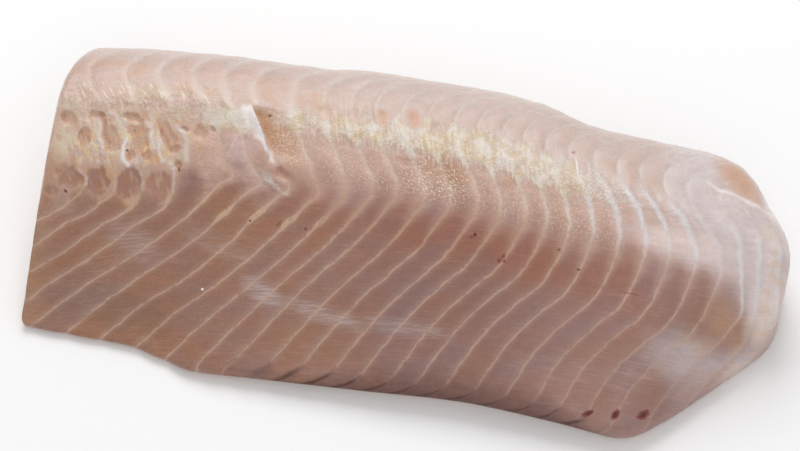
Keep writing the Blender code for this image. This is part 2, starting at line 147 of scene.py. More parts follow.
# More spots in mm: x, girth, half length, half width, tilt
DENTS = (
    (-40, -10, 4, 4, 0), (-28.5, -11, 4, 3.5, 90), (-17.5, -12.5, 4.5, 3.5, 90), (-4.5, -14, 4.5, 3.5, 90),
    (5, -12, 4, 3, 90), (-4, 5.5, 6, 3, 0), (63, 14.5, 4.5, 1.4, 25), (71, 12.5, 3.5, 1.0, 10),
    (127, -27, 8, 4, 0),
)
VESSELS = ((85, 82.5, 3.0, 1.0, -40), (95.3, 79.3, 2.5, 1.3, -65), (105.5, 75.6, 2.9, 1.5, -50))
# Knots of fat on the borders: number of the border, girth and half length in mm, and size
KNOTS = (
    (3, 38.5, 3, 0.3), (4, 39.5, 3, 0.4), (5, 39, 4, 1.2), (6, 38.5, 4, 0.8), (7, 38, 4, 0.4),
    (8, 41, 3.5, 1.0), (9, 38, 4.5, 1.0), (10, 38.5, 3, 1.1), (11, 36, 3, 0.5),
)
TORN = (-117, 19.5, 36, 25, 0)
TAN_END = (125, -30.5, 18, 11, 48)
LATTICE = (-120, 19, 38, 29, 0)
# The slit's edge as (girth, x), the girths between which it is open, and how far its floor rises again
SLIT = ((-10, -73), (-6, -70), (0, -66), (6, -62), (15, -57), (20, -53))
SLIT_RUNS = (-7, 17)
SLIT_SPREAD = 7 * MM

# White walls of the torn fillings and beside the slit, in mm: strength, half widths at both ends, and
# points (x, girth)
WALLS = (
    (0.75, 0.8, 1.3, ((-131.3, 6.5), (-130, 10), (-129, 14), (-128, 17))),
    (0.55, 1.5, 1.2, ((-128, 18.5), (-125.5, 21), (-123.5, 24))),
    (1.15, 0.5, 1.4, ((-118.8, 13.5), (-119.2, 17), (-118.2, 21), (-115.6, 25))),
    (0.75, 1.6, 1.0, ((-104.2, 15.5), (-103.6, 19), (-102, 22.5))),
    (0.5, 1.2, 0.8, ((-139, 6.5), (-134.5, 8), (-132, 11))),
    (0.6, 1.6, 1.1, ((-127.5, 2.5), (-123.4, 5), (-121, 9), (-119, 13))),
    (0.75, 0.9, 1.3, ((-112.3, 6.5), (-109, 11), (-107, 14.5), (-106, 18))),
    (0.65, 1.2, 1.7, ((-98.5, 7.5), (-95.6, 11), (-93, 14.5), (-92, 18), (-92.5, 22))),
    (0.5, 1.1, 0.9, ((-135.5, 24), (-132.5, 29), (-131.5, 35))),
    (0.4, 1.1, 0.9, ((-122.3, 25), (-120.2, 30), (-119.6, 35))),
    (0.42, 1.8, 1.1, ((-113.5, 20.5), (-111.5, 24), (-109.3, 29), (-108.3, 36))),
    (0.6, 1.9, 0.6, ((-98.8, 23.5), (-96, 27), (-94.6, 31), (-94.4, 35.5))),
    (0.6, 1.0, 1.4, ((-58, 23), (-54, 24.5), (-50.5, 26), (-47, 27.5))),
    (0.40, 1.3, 1.2, ((-76, 17), (-74, 11.5), (-71, 7.5), (-66.5, 5.5), (-62, 8), (-60.5, 12))),
)
# Tan tissue between the lower cells, running into the lines, in the same numbers
JOINTS = (
    (0.8, 0.6, 1.3, ((-139.3, 41.5), (-136, 39), (-133, 36.5), (-131.8, 32.5))),
    (0.8, 0.6, 1.5, ((-126.3, 41.5), (-123, 39), (-120.2, 36.5), (-119, 32.5))),
    (0.45, 0.9, 0.8, ((-71, 39), (-68.5, 34), (-64, 30.5), (-58, 29.5), (-54, 32), (-52.5, 36))),
    (0.45, 0.9, 0.8, ((-84, 38), (-81, 33), (-76, 29.5), (-70, 29))),
)
LOIN_LINE = (1.8, 2.4, ((113, -23), (116, -21.6), (123, -20.3), (134, -20)))
LOIN_CREASE = (0.8, 2.6, ((118, -23), (126, -22.3), (136, -22)))

# The fine arcs of the loin near the slanted cut run round a half line, in mm
ARCS_ROUND = ((118, -26), (150, -21))
ARC_PITCH = 2.9

# The fine skin: rings of columns along the borders between segments, then rows round the section
FINE_COLUMNS, COARSE_COLUMNS = 20, 11
FINE_UP_TO_BORDER = 11
FINE_GIRTH = (-8, 43)
FINE_ROWS_FACTOR = 1.8
ROWS_OVER_TOP = 206
ROWS_UNDERNEATH = 12
CORNER_STATIONS = 5
CAP_SCALES = (0.93, 0.86, 0.78, 0.69, 0.59, 0.48, 0.36, 0.22, 0.10)
CAP_RINGS_OF_SEGMENTS = 4.0
LEAST_INSET = 1e-12
# Columns of the grid that come this near to an end run into its rim
MERGE_WITHIN = 0.25 * MM

# How places are moved about in mm, the size of those moves in mm, and their seed
UNSETTLED = (1.1, 4.5, 11)
# Factors that turn a cell of the random lumps and their seed into a number
HASH_OF_AXES = (73856093, 19349663, 83492791)
HASH_OF_SEED = 2654435761
HASH_MIXER = 1274126177

# How far (mm) x runs on in the looks of a cut face, from its rim to its middle
RING_OF_CUT = 25
# Section place from which the distance to the belly's rim is counted
RIM_PLACE = 1.7

# Camera
CAMERA_AZIMUTH = 13
CAMERA_ELEVATION = 55
CAMERA_DISTANCE = 0.9225
CAMERA_LENS = 105
CAMERA_TARGET = (-0.0028, 0.00306, 0.0214)

# Soft lights: name, place and side in m, and power in W, with a white world all round
LIGHTS = (("key", (-0.35, 1.1, 1.25), 1.0, 14), ("fill", (0.4, -1.2, 1.1), 1.2, 4.5))
WORLD_STRENGTH = 0.56
FLOOR_HALF = 4
FLOOR_COLOUR = (0.99, 0.99, 0.99, 1.0)


def srgb(red, green, blue):
    """Linear colour of an 8-bit screen colour."""
    shares = [channel / 255 for channel in (red, green, blue)]
    return np.array([s / 12.92 if s <= 0.04045 else ((s + 0.055) / 1.055) ** 2.4 for s in shares])


FLESH_SQUARE_END = srgb(157, 113, 92)
FLESH_SLANTED_END = srgb(160, 119, 106)
FLESH_UPPER = srgb(206, 172, 157)
SHOULDER = srgb(157, 101, 79)
LOIN = srgb(208, 189, 180)
LOIN_PINK = srgb(202, 172, 162)
LOIN_SLANTED_END = srgb(214, 200, 199)
# Colour of the painted shade along the undercut belly edge
PAINTED_RIM_SHADE = srgb(70, 16, 8)
SHOULDER_LINE = srgb(190, 148, 120)
LOIN_LOW = srgb(200, 169, 155)
LOIN_STAIN = srgb(198, 152, 122)
CUT_TAN = srgb(176, 136, 108)
PIT_PALE = srgb(202, 160, 134)
PIT_DARK = srgb(158, 112, 94)
FAT_WHITE = srgb(228, 219, 208)
FAT_YELLOW = srgb(216, 196, 158)
FAT_BRIGHT = srgb(240, 236, 230)
SEPTUM_CREAM = srgb(204, 170, 150)
SEPTUM_YELLOW = srgb(204, 172, 140)
LOIN_WHITE = srgb(226, 216, 210)
SEPTUM_WHITE = srgb(230, 225, 228)
MEMBRANE = srgb(238, 230, 226)
TORN_CREAM = srgb(222, 206, 184)
TORN_BROWN = srgb(150, 102, 80)
TORN_MAUVE = srgb(206, 178, 170)
WALL_MAUVE = srgb(222, 206, 200)
CUT_FLESH = srgb(196, 162, 146)
VESSEL_CORE = srgb(100, 44, 36)
BELLY_TISSUE = srgb(196, 160, 134)
TORN_TAN = srgb(207, 165, 132)
TORN_YELLOW = srgb(217, 195, 156)
LOW_TISSUE = srgb(192, 156, 138)
RIM_CREAM = srgb(196, 158, 140)
SEPTUM_PALE = srgb(226, 206, 192)
FAT_BLUISH = srgb(226, 220, 222)
DASH_CREAM = srgb(240, 226, 204)
# Colour of the painted glints
SPARK = srgb(252, 234, 212)
VESSEL = srgb(140, 74, 60)
SLIT_BROWN = srgb(194, 146, 104)
SLIT_WHITE = srgb(232, 226, 230)
END_ORANGE = srgb(222, 190, 166)
END_WHITE = srgb(228, 212, 206)
PALE_HAIR = srgb(214, 186, 172)
# Colour of the painted sheen
SHEEN_COLOUR = srgb(206, 194, 194)
UNDERSIDE = srgb(190, 162, 150)
RIM_OF_VESSEL = srgb(176, 140, 134)

# Tints that a colour is multiplied by, in linear light
MAUVE_TINT = (0.96, 1.03, 1.16)
TAN_TINT = (1.04, 0.99, 0.84)
DARK_HAIR_TINT = (0.84, 0.78, 0.76)
OCHRE_TINT = (0.88, 0.78, 0.62)
TORN_OCHRE_TINT = (1.08, 0.98, 0.76)

# Coloured patches in mm: x, girth, half length, half width, tilt, strength, and red, green and blue
PATCHES = (
    (-76, 1, 12, 5, 5, 0.9, 226, 216, 200), (-69, 0, 7, 4.5, 40, 0.9, 232, 228, 224),
    (-142, 17, 6, 7, 60, 0.8, 210, 193, 162), (-132.5, 18.5, 4, 3, 60, 0.6, 206, 184, 146),
    (-130, 24, 5, 2.5, 20, 0.7, 190, 154, 112), (-97, 20.5, 4, 3, 60, 0.6, 214, 186, 164),
    (-111.5, 39, 5.5, 3, 10, 0.9, 196, 158, 118), (-123, 37.5, 5, 2.0, -25, 0.7, 194, 158, 124),
    (-97, 40, 5, 1.8, -20, 0.6, 190, 158, 132), (-87, 14, 7, 6, 0, 0.6, 206, 168, 144),
    (-83, 23, 10, 9, 30, 0.7, 204, 170, 155), (-70, 13, 8, 10, 55, 0.8, 200, 172, 167),
    (-64, 24, 10, 6, 20, 0.5, 200, 168, 156), (-53, 6, 19, 8, 50, 0.8, 198, 156, 128),
    (-51.5, 20, 6, 3.4, 12, 0.6, 186, 134, 112), (23, -15, 3.4, 1.8, 65, 0.5, 200, 166, 144),
    (37, -7, 3.4, 1.8, 65, 0.5, 202, 172, 140), (-3.5, 5.5, 7, 3, 0, 0.7, 182, 140, 114),
    (14, 6, 15, 7, 10, 0.8, 184, 138, 108), (38, 5, 4, 4, 10, 0.5, 190, 142, 116),
    (49, 5, 4, 5, 10, 0.5, 200, 162, 142), (62, 10, 5, 6, 10, 0.6, 202, 160, 132),
    (82, 3, 4, 5, 40, 0.6, 204, 164, 144), (129, 30, 10, 13, 15, 0.9, 184, 144, 124),
    (134, 38, 6, 7, 10, 0.8, 180, 142, 122), (*TAN_END, 1.0, 208, 168, 144),
    (140, -8, 5, 7, 0, 0.5, 222, 204, 186), (120, -52, 10, 14, 0, 0.5, 220, 186, 164),
    (-22, -45, 26, 7, 0, 0.6, 214, 200, 178), (27, -45, 28, 7, 0, 0.45, 214, 202, 186),
    (-57, 22.5, 5, 2.4, 35, 0.8, 200, 178, 168), (0, 33, 10, 5, 0, 0.4, 150, 98, 80),
    (-12, 8, 24, 7, 0, 0.6, 190, 152, 136), (-110, 82, 34, 12, 15, 0.6, 140, 106, 88),
    (22, 62, 62, 44, 0, 0.7, 144, 104, 92), (119, 50, 23, 15, 0, 0.8, 204, 183, 175),
    (-142, 33, 5, 13, 0, 0.5, 196, 164, 148), (110, 9, 36, 10, 0, 0.8, 230, 211, 207),
    (139, 50, 10, 15, 0, 0.8, 220, 203, 196), (141, -25, 9, 14, 0, 0.8, 236, 222, 216),
    (-104, -7, 40, 5, 0, 0.75, 198, 170, 144), (143, 18, 30, 9, 90, 0.7, 234, 218, 212),
    (-139, 40, 8, 8, 0, 0.6, 178, 142, 120), (-89, 31, 7, 9, 0, 0.8, 148, 108, 100),
    (-74, 33.5, 5.5, 3.8, -20, 0.6, 158, 114, 98), (-59.5, 32.5, 5.5, 4, 0, 0.55, 168, 128, 108),
    (-47.5, 32, 5, 3.8, 0, 0.6, 162, 110, 98), (122, 60, 16, 8, -50, 0.5, 186, 164, 160),
)

# Orange patches where the fat of the seam is missing, in the same numbers
ORANGE = (
    (-42, -12, 10, 5, 45, 0.9, 198, 156, 126), (-28.5, -11, 4.5, 3.2, 50, 0.8, 198, 160, 132),
    (-17.5, -12.5, 7, 4.2, 60, 0.85, 202, 150, 108), (-5, -15, 7, 4.2, 50, 0.8, 202, 146, 116),
    (5, -12, 4.4, 2.6, 65, 0.7, 196, 162, 136), (75, -15, 4, 3, 40, 0.4, 206, 172, 150),
    (92, -14, 4, 4, 40, 0.4, 206, 174, 156),
)

# Small ovals in the same numbers: dark spots, and white ones that are single painted glints
MARKS = (
    (-139.5, 36, 0.9, 0.6, 40, 0.9, 112, 22, 12), (29.6, 29, 0.8, 0.6, 20, 1.0, 84, 12, 6),
    (28.6, 30, 1.6, 0.9, 150, 0.6, 130, 54, 46), (41.8, 34.4, 0.9, 0.6, 120, 0.9, 120, 30, 26),
    (40.7, 36.4, 0.9, 0.7, 120, 0.9, 116, 28, 26), (42.6, 36.2, 0.6, 0.5, 0, 0.8, 120, 34, 30),
    (41.4, 35.3, 2.2, 1.4, 120, 0.5, 150, 76, 66), (9, 36.5, 2.0, 1.4, 100, 0.6, 164, 88, 76),
    (62.4, 25.8, 0.8, 0.5, 150, 0.8, 126, 66, 50), (71.2, 31, 0.8, 0.4, 160, 0.9, 110, 44, 28),
    (-37.2, 39.6, 0.7, 0.6, 0, 0.9, 120, 64, 44), (59.8, -16.3, 0.9, 0.8, 0, 0.8, 176, 78, 76),
    (-48.5, 39.6, 1.6, 0.8, 120, 0.7, 132, 82, 52), (-60.5, 41, 0.7, 0.6, 0, 0.8, 112, 70, 56),
    (-75, 71, 0.6, 0.5, 0, 1.0, 246, 240, 236), (-117, 18.6, 0.7, 0.6, 0, 0.8, 104, 66, 62),
    (-94.2, 26, 1.2, 0.6, 60, 0.8, 104, 62, 52), (62.6, -9.5, 5, 0.45, 72, 0.7, 244, 240, 240),
    (-62, -3.2, 0.7, 0.6, 0, 0.8, 84, 60, 36), (92.5, 33.5, 4.5, 0.3, -6, 0.6, 124, 66, 56),
)

# Painted sheen, pale streaks where wet flesh would shine, in mm: x, girth, half length, half width, tilt, and
# their strength
SHEEN = (
    (-50, 67, 14, 6, 20, 1.0), (-22, 71, 24, 5, 8, 0.9), (10, 70, 26, 5, -2, 0.6), (-74, 52, 22, 7, 15, 0.35),
    (-108, 56, 18, 9, 30, 0.5), (70, 70, 26, 8, -8, 0.15), (100, 62, 20, 9, -30, 0.2),
)


def smooth_through(points, at):
    """Value at each place of a smooth curve through (place, value) points, with no overshoot between them."""
    place, value = np.array(points, float).T
    gap = np.diff(place)
    slope = np.diff(value) / gap
    tangent = np.concatenate([slope[:1], np.zeros(len(gap) - 1), slope[-1:]])
    same_way = slope[:-1] * slope[1:] > 0
    harmonic = 2 * slope[:-1] * slope[1:] / np.where(same_way, slope[:-1] + slope[1:], 1)
    tangent[1:-1] = np.where(same_way, harmonic, 0)
    k = np.clip(np.searchsorted(place, at) - 1, 0, len(gap) - 1)
    u = np.clip((at - place[k]) / gap[k], 0, 1)
    return (
        value[k] * (1 + 2 * u) * (1 - u) ** 2
        + value[k + 1] * u ** 2 * (3 - 2 * u)
        + gap[k] * (tangent[k] * u * (1 - u) ** 2 - tangent[k + 1] * u ** 2 * (1 - u))
    )


def rise(start, end, at):
    """0 up to start, 1 beyond end, smooth between them."""
    u = np.clip((at - start) / (end - start), 0, 1)
    return u * u * (3 - 2 * u)


def fall(start, end, at):
    """1 up to start, 0 beyond end, smooth between them."""
    return 1 - rise(start, end, at)


def between(start, full, drop, end, at):
    """0 up to start, 1 from full to drop, and 0 again beyond end."""
    return rise(start, full, at) * fall(drop, end, at)


def bell(middle, reach, at):
    """1 in the middle, falling away smoothly to both sides."""
    return np.exp(-((at - middle) / reach) ** 2)


def lumps(points, size, seed):
    """Smooth random values from -1 to 1 at points (n, 2 or 3), in lumps of about this size."""
    at = points / size
    cell = np.floor(at).astype(np.int64)
    u = at - cell
    u = u * u * (3 - 2 * u)
    total = np.zeros(len(points))
    for corner in np.ndindex(*(2,) * points.shape[1]):
        weight = np.prod(np.where(corner, u, 1 - u), axis=1)
        key = (cell + corner) @ np.array(HASH_OF_AXES[:points.shape[1]]) + seed * HASH_OF_SEED
        key = (key ^ (key >> 13)) * HASH_MIXER
        key = key ^ (key >> 16)
        total += weight * ((key & 0xFFFF) / 32767.5 - 1)
    return total


def section_cage(x):
    """Control points (y, z) of the section at each x, from the belly's underside over the back and down."""
    share = x / LENGTH
    front, back, fat = (WIDTH * smooth_through(line, share) for line in (BELLY_EDGE, BACK_EDGE, FAT_LINE))
    top, rim = (THICKNESS * smooth_through(line, share) for line in (CREST_HEIGHT, BELLY_RIM))
    flank = fat - front
    loin = back - fat
    ground = 0 * x
    return np.array([
        (front + 0.09 * flank, ground),
        (front + 0.020 * flank, ground),
        (front, 0.40 * rim),
        (front + 0.004 * flank, 1.00 * rim),
        (front + 0.050 * flank, 1.22 * rim),
        (front + 0.23 * flank, rim + 0.27 * (top - rim)),
        (front + 0.45 * flank, rim + 0.54 * (top - rim)),
        (front + 0.68 * flank, rim + 0.79 * (top - rim)),
        (front + 0.87 * flank, rim + 0.93 * (top - rim)),
        (fat, 0.985 * top),
        (fat + 0.24 * loin, 1.012 * top),
        (fat + 0.52 * loin, 0.985 * top),
        (fat + 0.78 * loin, 0.910 * top),
        (fat + 0.95 * loin, 0.780 * top),
        (back + 0.03 * loin, 0.520 * top),
        (back - 0.01 * loin, 0.190 * top),
        (back - 0.10 * loin, ground),
        (back - 0.30 * loin, ground),
        (fat, ground),
        (front + 0.45 * flank, ground),
    ])


CAGE_POINTS = len(section_cage(np.zeros(1)))
SKIN_FROM, FAT_AT, SKIN_TO = 1.0, 9.0, 16.0


def on_section(x, place):
    """(y, z) on the closed B-spline section at each x, at a place counted in control points."""
    cage = section_cage(x)
    first = np.floor(place).astype(int)
    u = place - first
    here = np.arange(len(x))
    corner = [cage[(first + k) % CAGE_POINTS, :, here].T for k in (-1, 0, 1, 2)]
    return (
        corner[0] * (1 - u) ** 3
        + corner[1] * (3 * u ** 3 - 6 * u ** 2 + 4)
        + corner[2] * (-3 * u ** 3 + 3 * u ** 2 + 3 * u + 1)
        + corner[3] * u ** 3
    ) / 6


def girth_table():
    """Girth at evenly spaced x and places, to be read by girth_at."""
    x = np.linspace(-LENGTH / 2, LENGTH / 2, 101)
    place = np.linspace(SKIN_FROM, SKIN_TO, 301)
    lines = np.array([on_section(np.full(len(place), at), place) for at in x])
    steps = np.hypot(np.diff(lines[:, 0]), np.diff(lines[:, 1]))
    run = np.pad(np.cumsum(steps, axis=1), ((0, 0), (1, 0)))
    fat = run[:, np.argmin(abs(place - FAT_AT))]
    return x, place, fat[:, None] - run


TABLE_X, TABLE_PLACE, TABLE_GIRTH = girth_table()


def girth_at(x, place):
    """Girth (m) at each x and place."""
    row = (x - TABLE_X[0]) / (TABLE_X[1] - TABLE_X[0])
    first = np.clip(np.floor(row).astype(int), 0, len(TABLE_X) - 2)
    share = row - first
    column = np.clip((place - SKIN_FROM) / (TABLE_PLACE[1] - TABLE_PLACE[0]), 0, len(TABLE_PLACE) - 1.001)
    left = np.floor(column).astype(int)
    u = column - left
    near = TABLE_GIRTH[first, left] * (1 - u) + TABLE_GIRTH[first, left + 1] * u
    far = TABLE_GIRTH[first + 1, left] * (1 - u) + TABLE_GIRTH[first + 1, left + 1] * u
    return near * (1 - share) + far * share


def share_beneath(place):
    """How far round the underside a place is: 0 at its back edge, 1 at the belly edge."""
    return (place - SKIN_TO) / (SKIN_FROM + CAGE_POINTS - SKIN_TO)


def girth_round(x, place):
    """Girth (mm) at each x (mm) and place, running evenly from edge to edge underneath."""
    girth = girth_at(x * MM, np.clip(place, SKIN_FROM, SKIN_TO)) / MM
    share = np.clip(share_beneath(place), 0, 1)
    low, high = (girth_at(x * MM, edge) / MM for edge in (SKIN_TO, SKIN_FROM))
    return np.where(place > SKIN_TO, low * (1 - share) + high * share, girth)


def sweeps(girth):
    """How far (mm) a border at each of SWEEP_AT has run back at each girth (mm)."""
    level, *columns = np.array(SWEEP, float).T
    return np.array([smooth_through(np.column_stack([level, column]), girth) for column in columns])


def segment_number(x, girth):
    """Number of the segment at a place (mm) on the skin: whole on a border, fractions between two borders."""
    run = sweeps(girth)
    crossed = np.array(SWEEP_AT)[:, None] - run
    border = np.array([np.interp(at, knots, SWEEP_AT) for at, knots in zip(x, crossed.T)])
    border += np.minimum(x - crossed[0], 0) + np.maximum(x - crossed[-1], 0)
    return np.interp(border, BORDERS, np.arange(len(BORDERS)))


def radius_in(x, girth, spot):
    """0 in the middle of an oval spot, 1 on its rim."""
    middle_x, middle_girth, half_length, half_width, tilt = spot
    turn = math.radians(tilt)
    along = (x - middle_x) * math.cos(turn) + (girth - middle_girth) * math.sin(turn)
    across = (girth - middle_girth) * math.cos(turn) - (x - middle_x) * math.sin(turn)
    return np.hypot(along / half_length, across / half_width)


def soft_spot(x, girth, spot):
    """1 in the middle of an oval spot, falling to 0 on its rim."""
    return fall(0.25, 1.0, radius_in(x, girth, spot))


def beside_leg(x, girth, start, end, stop=1):
    """How far along a straight leg each place is, from 0 to `stop`, and its distance (mm) from there."""
    (x0, g0), (x1, g1) = start, end
    length = math.hypot(x1 - x0, g1 - g0)
    along = np.clip(((x - x0) * (x1 - x0) + (girth - g0) * (g1 - g0)) / length ** 2, 0, stop)
    return along, np.hypot(x - x0 - along * (x1 - x0), girth - g0 - along * (g1 - g0))


def near_line(x, girth, line):
    """1 on a line's middle, falling to 0 at about twice its half width there, and beyond its ends."""
    first_width, last_width, points = line
    strongest = np.zeros(len(x))
    for leg, ends in enumerate(zip(points, points[1:])):
        along, gap = beside_leg(x, girth, *ends)
        half_width = first_width + (last_width - first_width) * (leg + along) / (len(points) - 1)
        strongest = np.maximum(strongest, bell(0, half_width, gap))
    return strongest


def wall_share(x, girth, walls):
    """1 on the white walls at their full strength."""
    return np.max([strength * near_line(x, girth, line) for strength, *line in walls], axis=0)


def pit_radii(x, girth):
    """Radius in the nearest pit, 1 on its rim, and that pit's darkness."""
    radii = np.array([radius_in(x, girth, spot[:5]) for spot in PITS])
    return radii.min(axis=0), np.array([spot[5] for spot in PITS])[radii.argmin(axis=0)]


def beyond_slit(x, girth):
    """Distance (mm) to the right of the cut's edge, and where along it (0 to 1) the cut is open."""
    start, end = SLIT_RUNS
    return x - smooth_through(SLIT, girth), between(start, start + 5, end - 7, end, girth)


def slit_hollow(x, girth):
    """1 deep in the cut, which has a sheer left side and a floor rising again to the right."""
    beyond, open_here = beyond_slit(x, girth)
    beyond = beyond * MM
    rising = np.exp(-np.clip(beyond, 0, None) / SLIT_SPREAD)
    return open_here * rise(-0.6 * MM, 0.8 * MM, beyond) * rising


def unsettled(x, girth, amount, size, seed):
    """Places moved about a little, so that ovals and lines drawn there come out uneven."""
    at = np.column_stack([x, girth])
    return x + amount * lumps(at, size, seed), girth + amount * lumps(at, size, seed + 1)


def knot_share(girth, number):
    """How far a border swells into a knot of fat, in the row of knots under the torn fillings."""
    each = np.round(number)
    shares = [size * (each == border) * bell(middle, half_length, girth)
              for border, middle, half_length, size in KNOTS]
    return np.max(shares, axis=0)


def relief(x, girth, number):
    """Height of the flesh over the smooth section, at places in mm."""
    share = number % 1
    height = SEGMENT_CROWN * smooth_through(CROWNED, girth) * (4 * share * (1 - share)) ** 0.7
    fat_lumps = 0.75 + 0.25 * np.cos(2 * math.pi * number)
    height += FAT_RIDGE_HEIGHT * fat_lumps * bell(-2 * MM, FAT_RIDGE_HALF_WIDTH, girth * MM)
    height -= SLIT_DEPTH * slit_hollow(x, girth) + TORN_DEPTH * soft_spot(x, girth, TORN)
    beyond, open_here = beyond_slit(x, girth)
    height += SLIT_RISE * open_here * np.exp(-np.abs(beyond) / 6) * fall(-0.8, 0.6, beyond)
    for spots, depth in ((DENTS, DENT_DEPTH), (VESSELS, VESSEL_DEPTH)):
        for spot in spots:
            height -= depth * soft_spot(x, girth, spot)
    at_border = fall(0.0, 0.16, np.abs(share - np.round(share)))
    height += KNOT_HEIGHT * knot_share(girth, number) * at_border
    x, girth = unsettled(x, girth, *UNSETTLED)
    height -= PIT_DEPTH * fall(0.35, 1.10, pit_radii(x, girth)[0])
    height -= CREASE_DEPTH * near_line(x, girth, LOIN_CREASE)
    return height + WALL_HEIGHT * wall_share(x, girth, WALLS)


def unevenness(x, flat, girth):
    """Small random rises of the flesh, coarser grained along the fat."""
    points = np.column_stack([x, flat[0], flat[1]])
    in_fat = bell(-2, 7, girth)
    broad = 0.22 * lumps(points, 9 * MM, 1) + 0.10 * lumps(points, 3.5 * MM, 2)
    grains = 0.16 * lumps(points, 1.9 * MM, 3)
    return (broad + grains * (0.25 + in_fat)) * MM


def skin_points(x, place, number, inset=0.0, scale=1.0):
    """Points of the body at each x and place, drawn in by `inset`, then scaled about the section's middle."""
    flat = on_section(x, place)
    ahead = on_section(x, place + 0.02) - on_section(x, place - 0.02)
    outward = np.array([-ahead[1], ahead[0]]) / np.hypot(*ahead)
    inside = between(SKIN_FROM + 0.6, SKIN_FROM + 1.6, SKIN_TO - 1.2, SKIN_TO, place)
    girth = girth_at(x, place) / MM
    section = flat + outward * (relief(x / MM, girth, number) * inside + unevenness(x, flat, girth) * inside)
    if inset > 0:
        low, high = flat.min(axis=1)[:, None], flat.max(axis=1)[:, None]
        middle = (low + high) / 2
        section = middle + (section - middle) * scale * (1 - inset / ((high - low) / 2))
    across, height = section
    near_square_cut = smooth_through(((-0.5, 1.0), (0.1, 0.0), (0.5, 0.0)), x / LENGTH)
    turned = SQUARE_CUT_SKEW * (SQUARE_CUT_PIVOT * WIDTH - across) + SQUARE_CUT_LEAN * height
    return np.column_stack([x + near_square_cut * turned, across, height])


def spread(start, end, count):
    """Section places from start to end, evenly apart on the middle section but closer in the fine girths."""
    fine = np.linspace(start, end, 40 * count)
    middle = np.zeros(len(fine))
    run = np.hypot(*np.diff(on_section(middle, fine), axis=1))
    girth = girth_at(middle, fine)[1:] / MM
    in_fine = (girth > FINE_GIRTH[0]) & (girth < FINE_GIRTH[1]) & (fine[1:] < SKIN_TO)
    run = np.concatenate([[0], np.cumsum(run * np.where(in_fine, FINE_ROWS_FACTOR, 1))])
    return np.interp(np.linspace(0, run[-1], count + 1), run, fine)


def skin_grid():
    """Section places of the rows round the body, segment numbers of the columns, and x in each row of each.

    The columns follow the borders between segments.
    """
    over = spread(SKIN_FROM, SKIN_TO, ROWS_OVER_TOP)
    under = spread(SKIN_TO, SKIN_FROM + CAGE_POINTS, ROWS_UNDERNEATH)[1:-1]
    numbers = np.concatenate([
        np.arange(0, FINE_UP_TO_BORDER, 1 / FINE_COLUMNS),
        np.arange(FINE_UP_TO_BORDER, len(BORDERS) - 1, 1 / COARSE_COLUMNS),
    ])
    fine = np.linspace(-LENGTH / 2 + SQUARE_CUT_ROUND, LENGTH / 2 - SLANT_CUT_ROUND, 500)
    rows = []
    for place in over:
        along = segment_number(fine / MM, girth_at(fine, place) / MM)
        rows.append(np.interp(numbers, np.maximum.accumulate(along), fine))
    for share in np.arange(1, ROWS_UNDERNEATH) / ROWS_UNDERNEATH:
        rows.append(rows[ROWS_OVER_TOP] * (1 - share) + rows[0] * share)
    return np.concatenate([over, under]), numbers, np.array(rows)


class Skin:
    """Points of the whole body, with the x, place, segment number and cap scale of each, and its faces."""

    def __init__(self):
        self.points, self.spots, self.faces = [], [], []
        self.count = 0

    def add_points(self, x, place, number, inset=0.0, scale=1.0):
        """A row of points, and what numbers they have in the body."""
        self.points.append(skin_points(x, place, number, inset, scale))
        self.spots.append(np.column_stack([x, place, number, np.full(len(x), scale)]))
        self.count += len(x)
        return np.arange(self.count - len(x), self.count)

    def add_middle(self, ring, faces_up):
        """A fan of faces from a closed ring of points to one in its middle."""
        centre = self.count
        self.points.append(np.concatenate(self.points)[ring].mean(axis=0)[None])
        self.spots.append(self.spots[-1][:1])
        self.count += 1
        for a, b in zip(ring, np.roll(ring, -1)):
            corners = [int(a), centre, int(b)]
            self.faces.append(corners if faces_up else corners[::-1])

    def add_strip(self, here, there):
        """Faces between two closed rings of points. A pair that meets in one point makes a triangle."""
        for a, b, c, d in zip(here, there, np.roll(there, -1), np.roll(here, -1)):
            corners = list(dict.fromkeys((int(a), int(b), int(c), int(d))))
            if len(corners) > 2:
                self.faces.append(corners)


def edge_numbers(end):
    """Segment numbers where the skin at this x meets the underside, at the back and at the belly."""
    return segment_number(np.full(2, end / MM), girth_at(end, np.array([SKIN_TO, SKIN_FROM])) / MM)


def end_number(x, place, edges):
    """Segment number round an end: from the skin over the top, and evenly from edge to edge underneath."""
    number = segment_number(x / MM, girth_at(x, place) / MM)
    share = share_beneath(place)
    return np.where(place <= SKIN_TO, number, edges[0] * (1 - share) + edges[1] * share)


def add_end(skin, rim, end, rounding, places):
    """The rounded rim and the flat face of one cut end, in rings that close at its middle."""
    inward = -math.copysign(1, end)
    edges = edge_numbers(end)
    turns = np.linspace(0, math.pi / 2, CORNER_STATIONS)[-2::-1]
    rings = [(end + inward * rounding * (1 - math.cos(turn)), rounding * (1 - math.sin(turn)), 1.0)
             for turn in turns]
    last = rim
    for x, inset, scale in rings + [(end, rounding, scale) for scale in CAP_SCALES]:
        level = np.full(len(places), x)
        number = end_number(level, places, edges) + (1 - scale) * CAP_RINGS_OF_SEGMENTS
        ring = skin.add_points(level, places, number, max(inset, LEAST_INSET), scale)
        skin.add_strip(*((last, ring) if end > 0 else (ring, last)))
        last = ring
    skin.add_middle(last, end > 0)


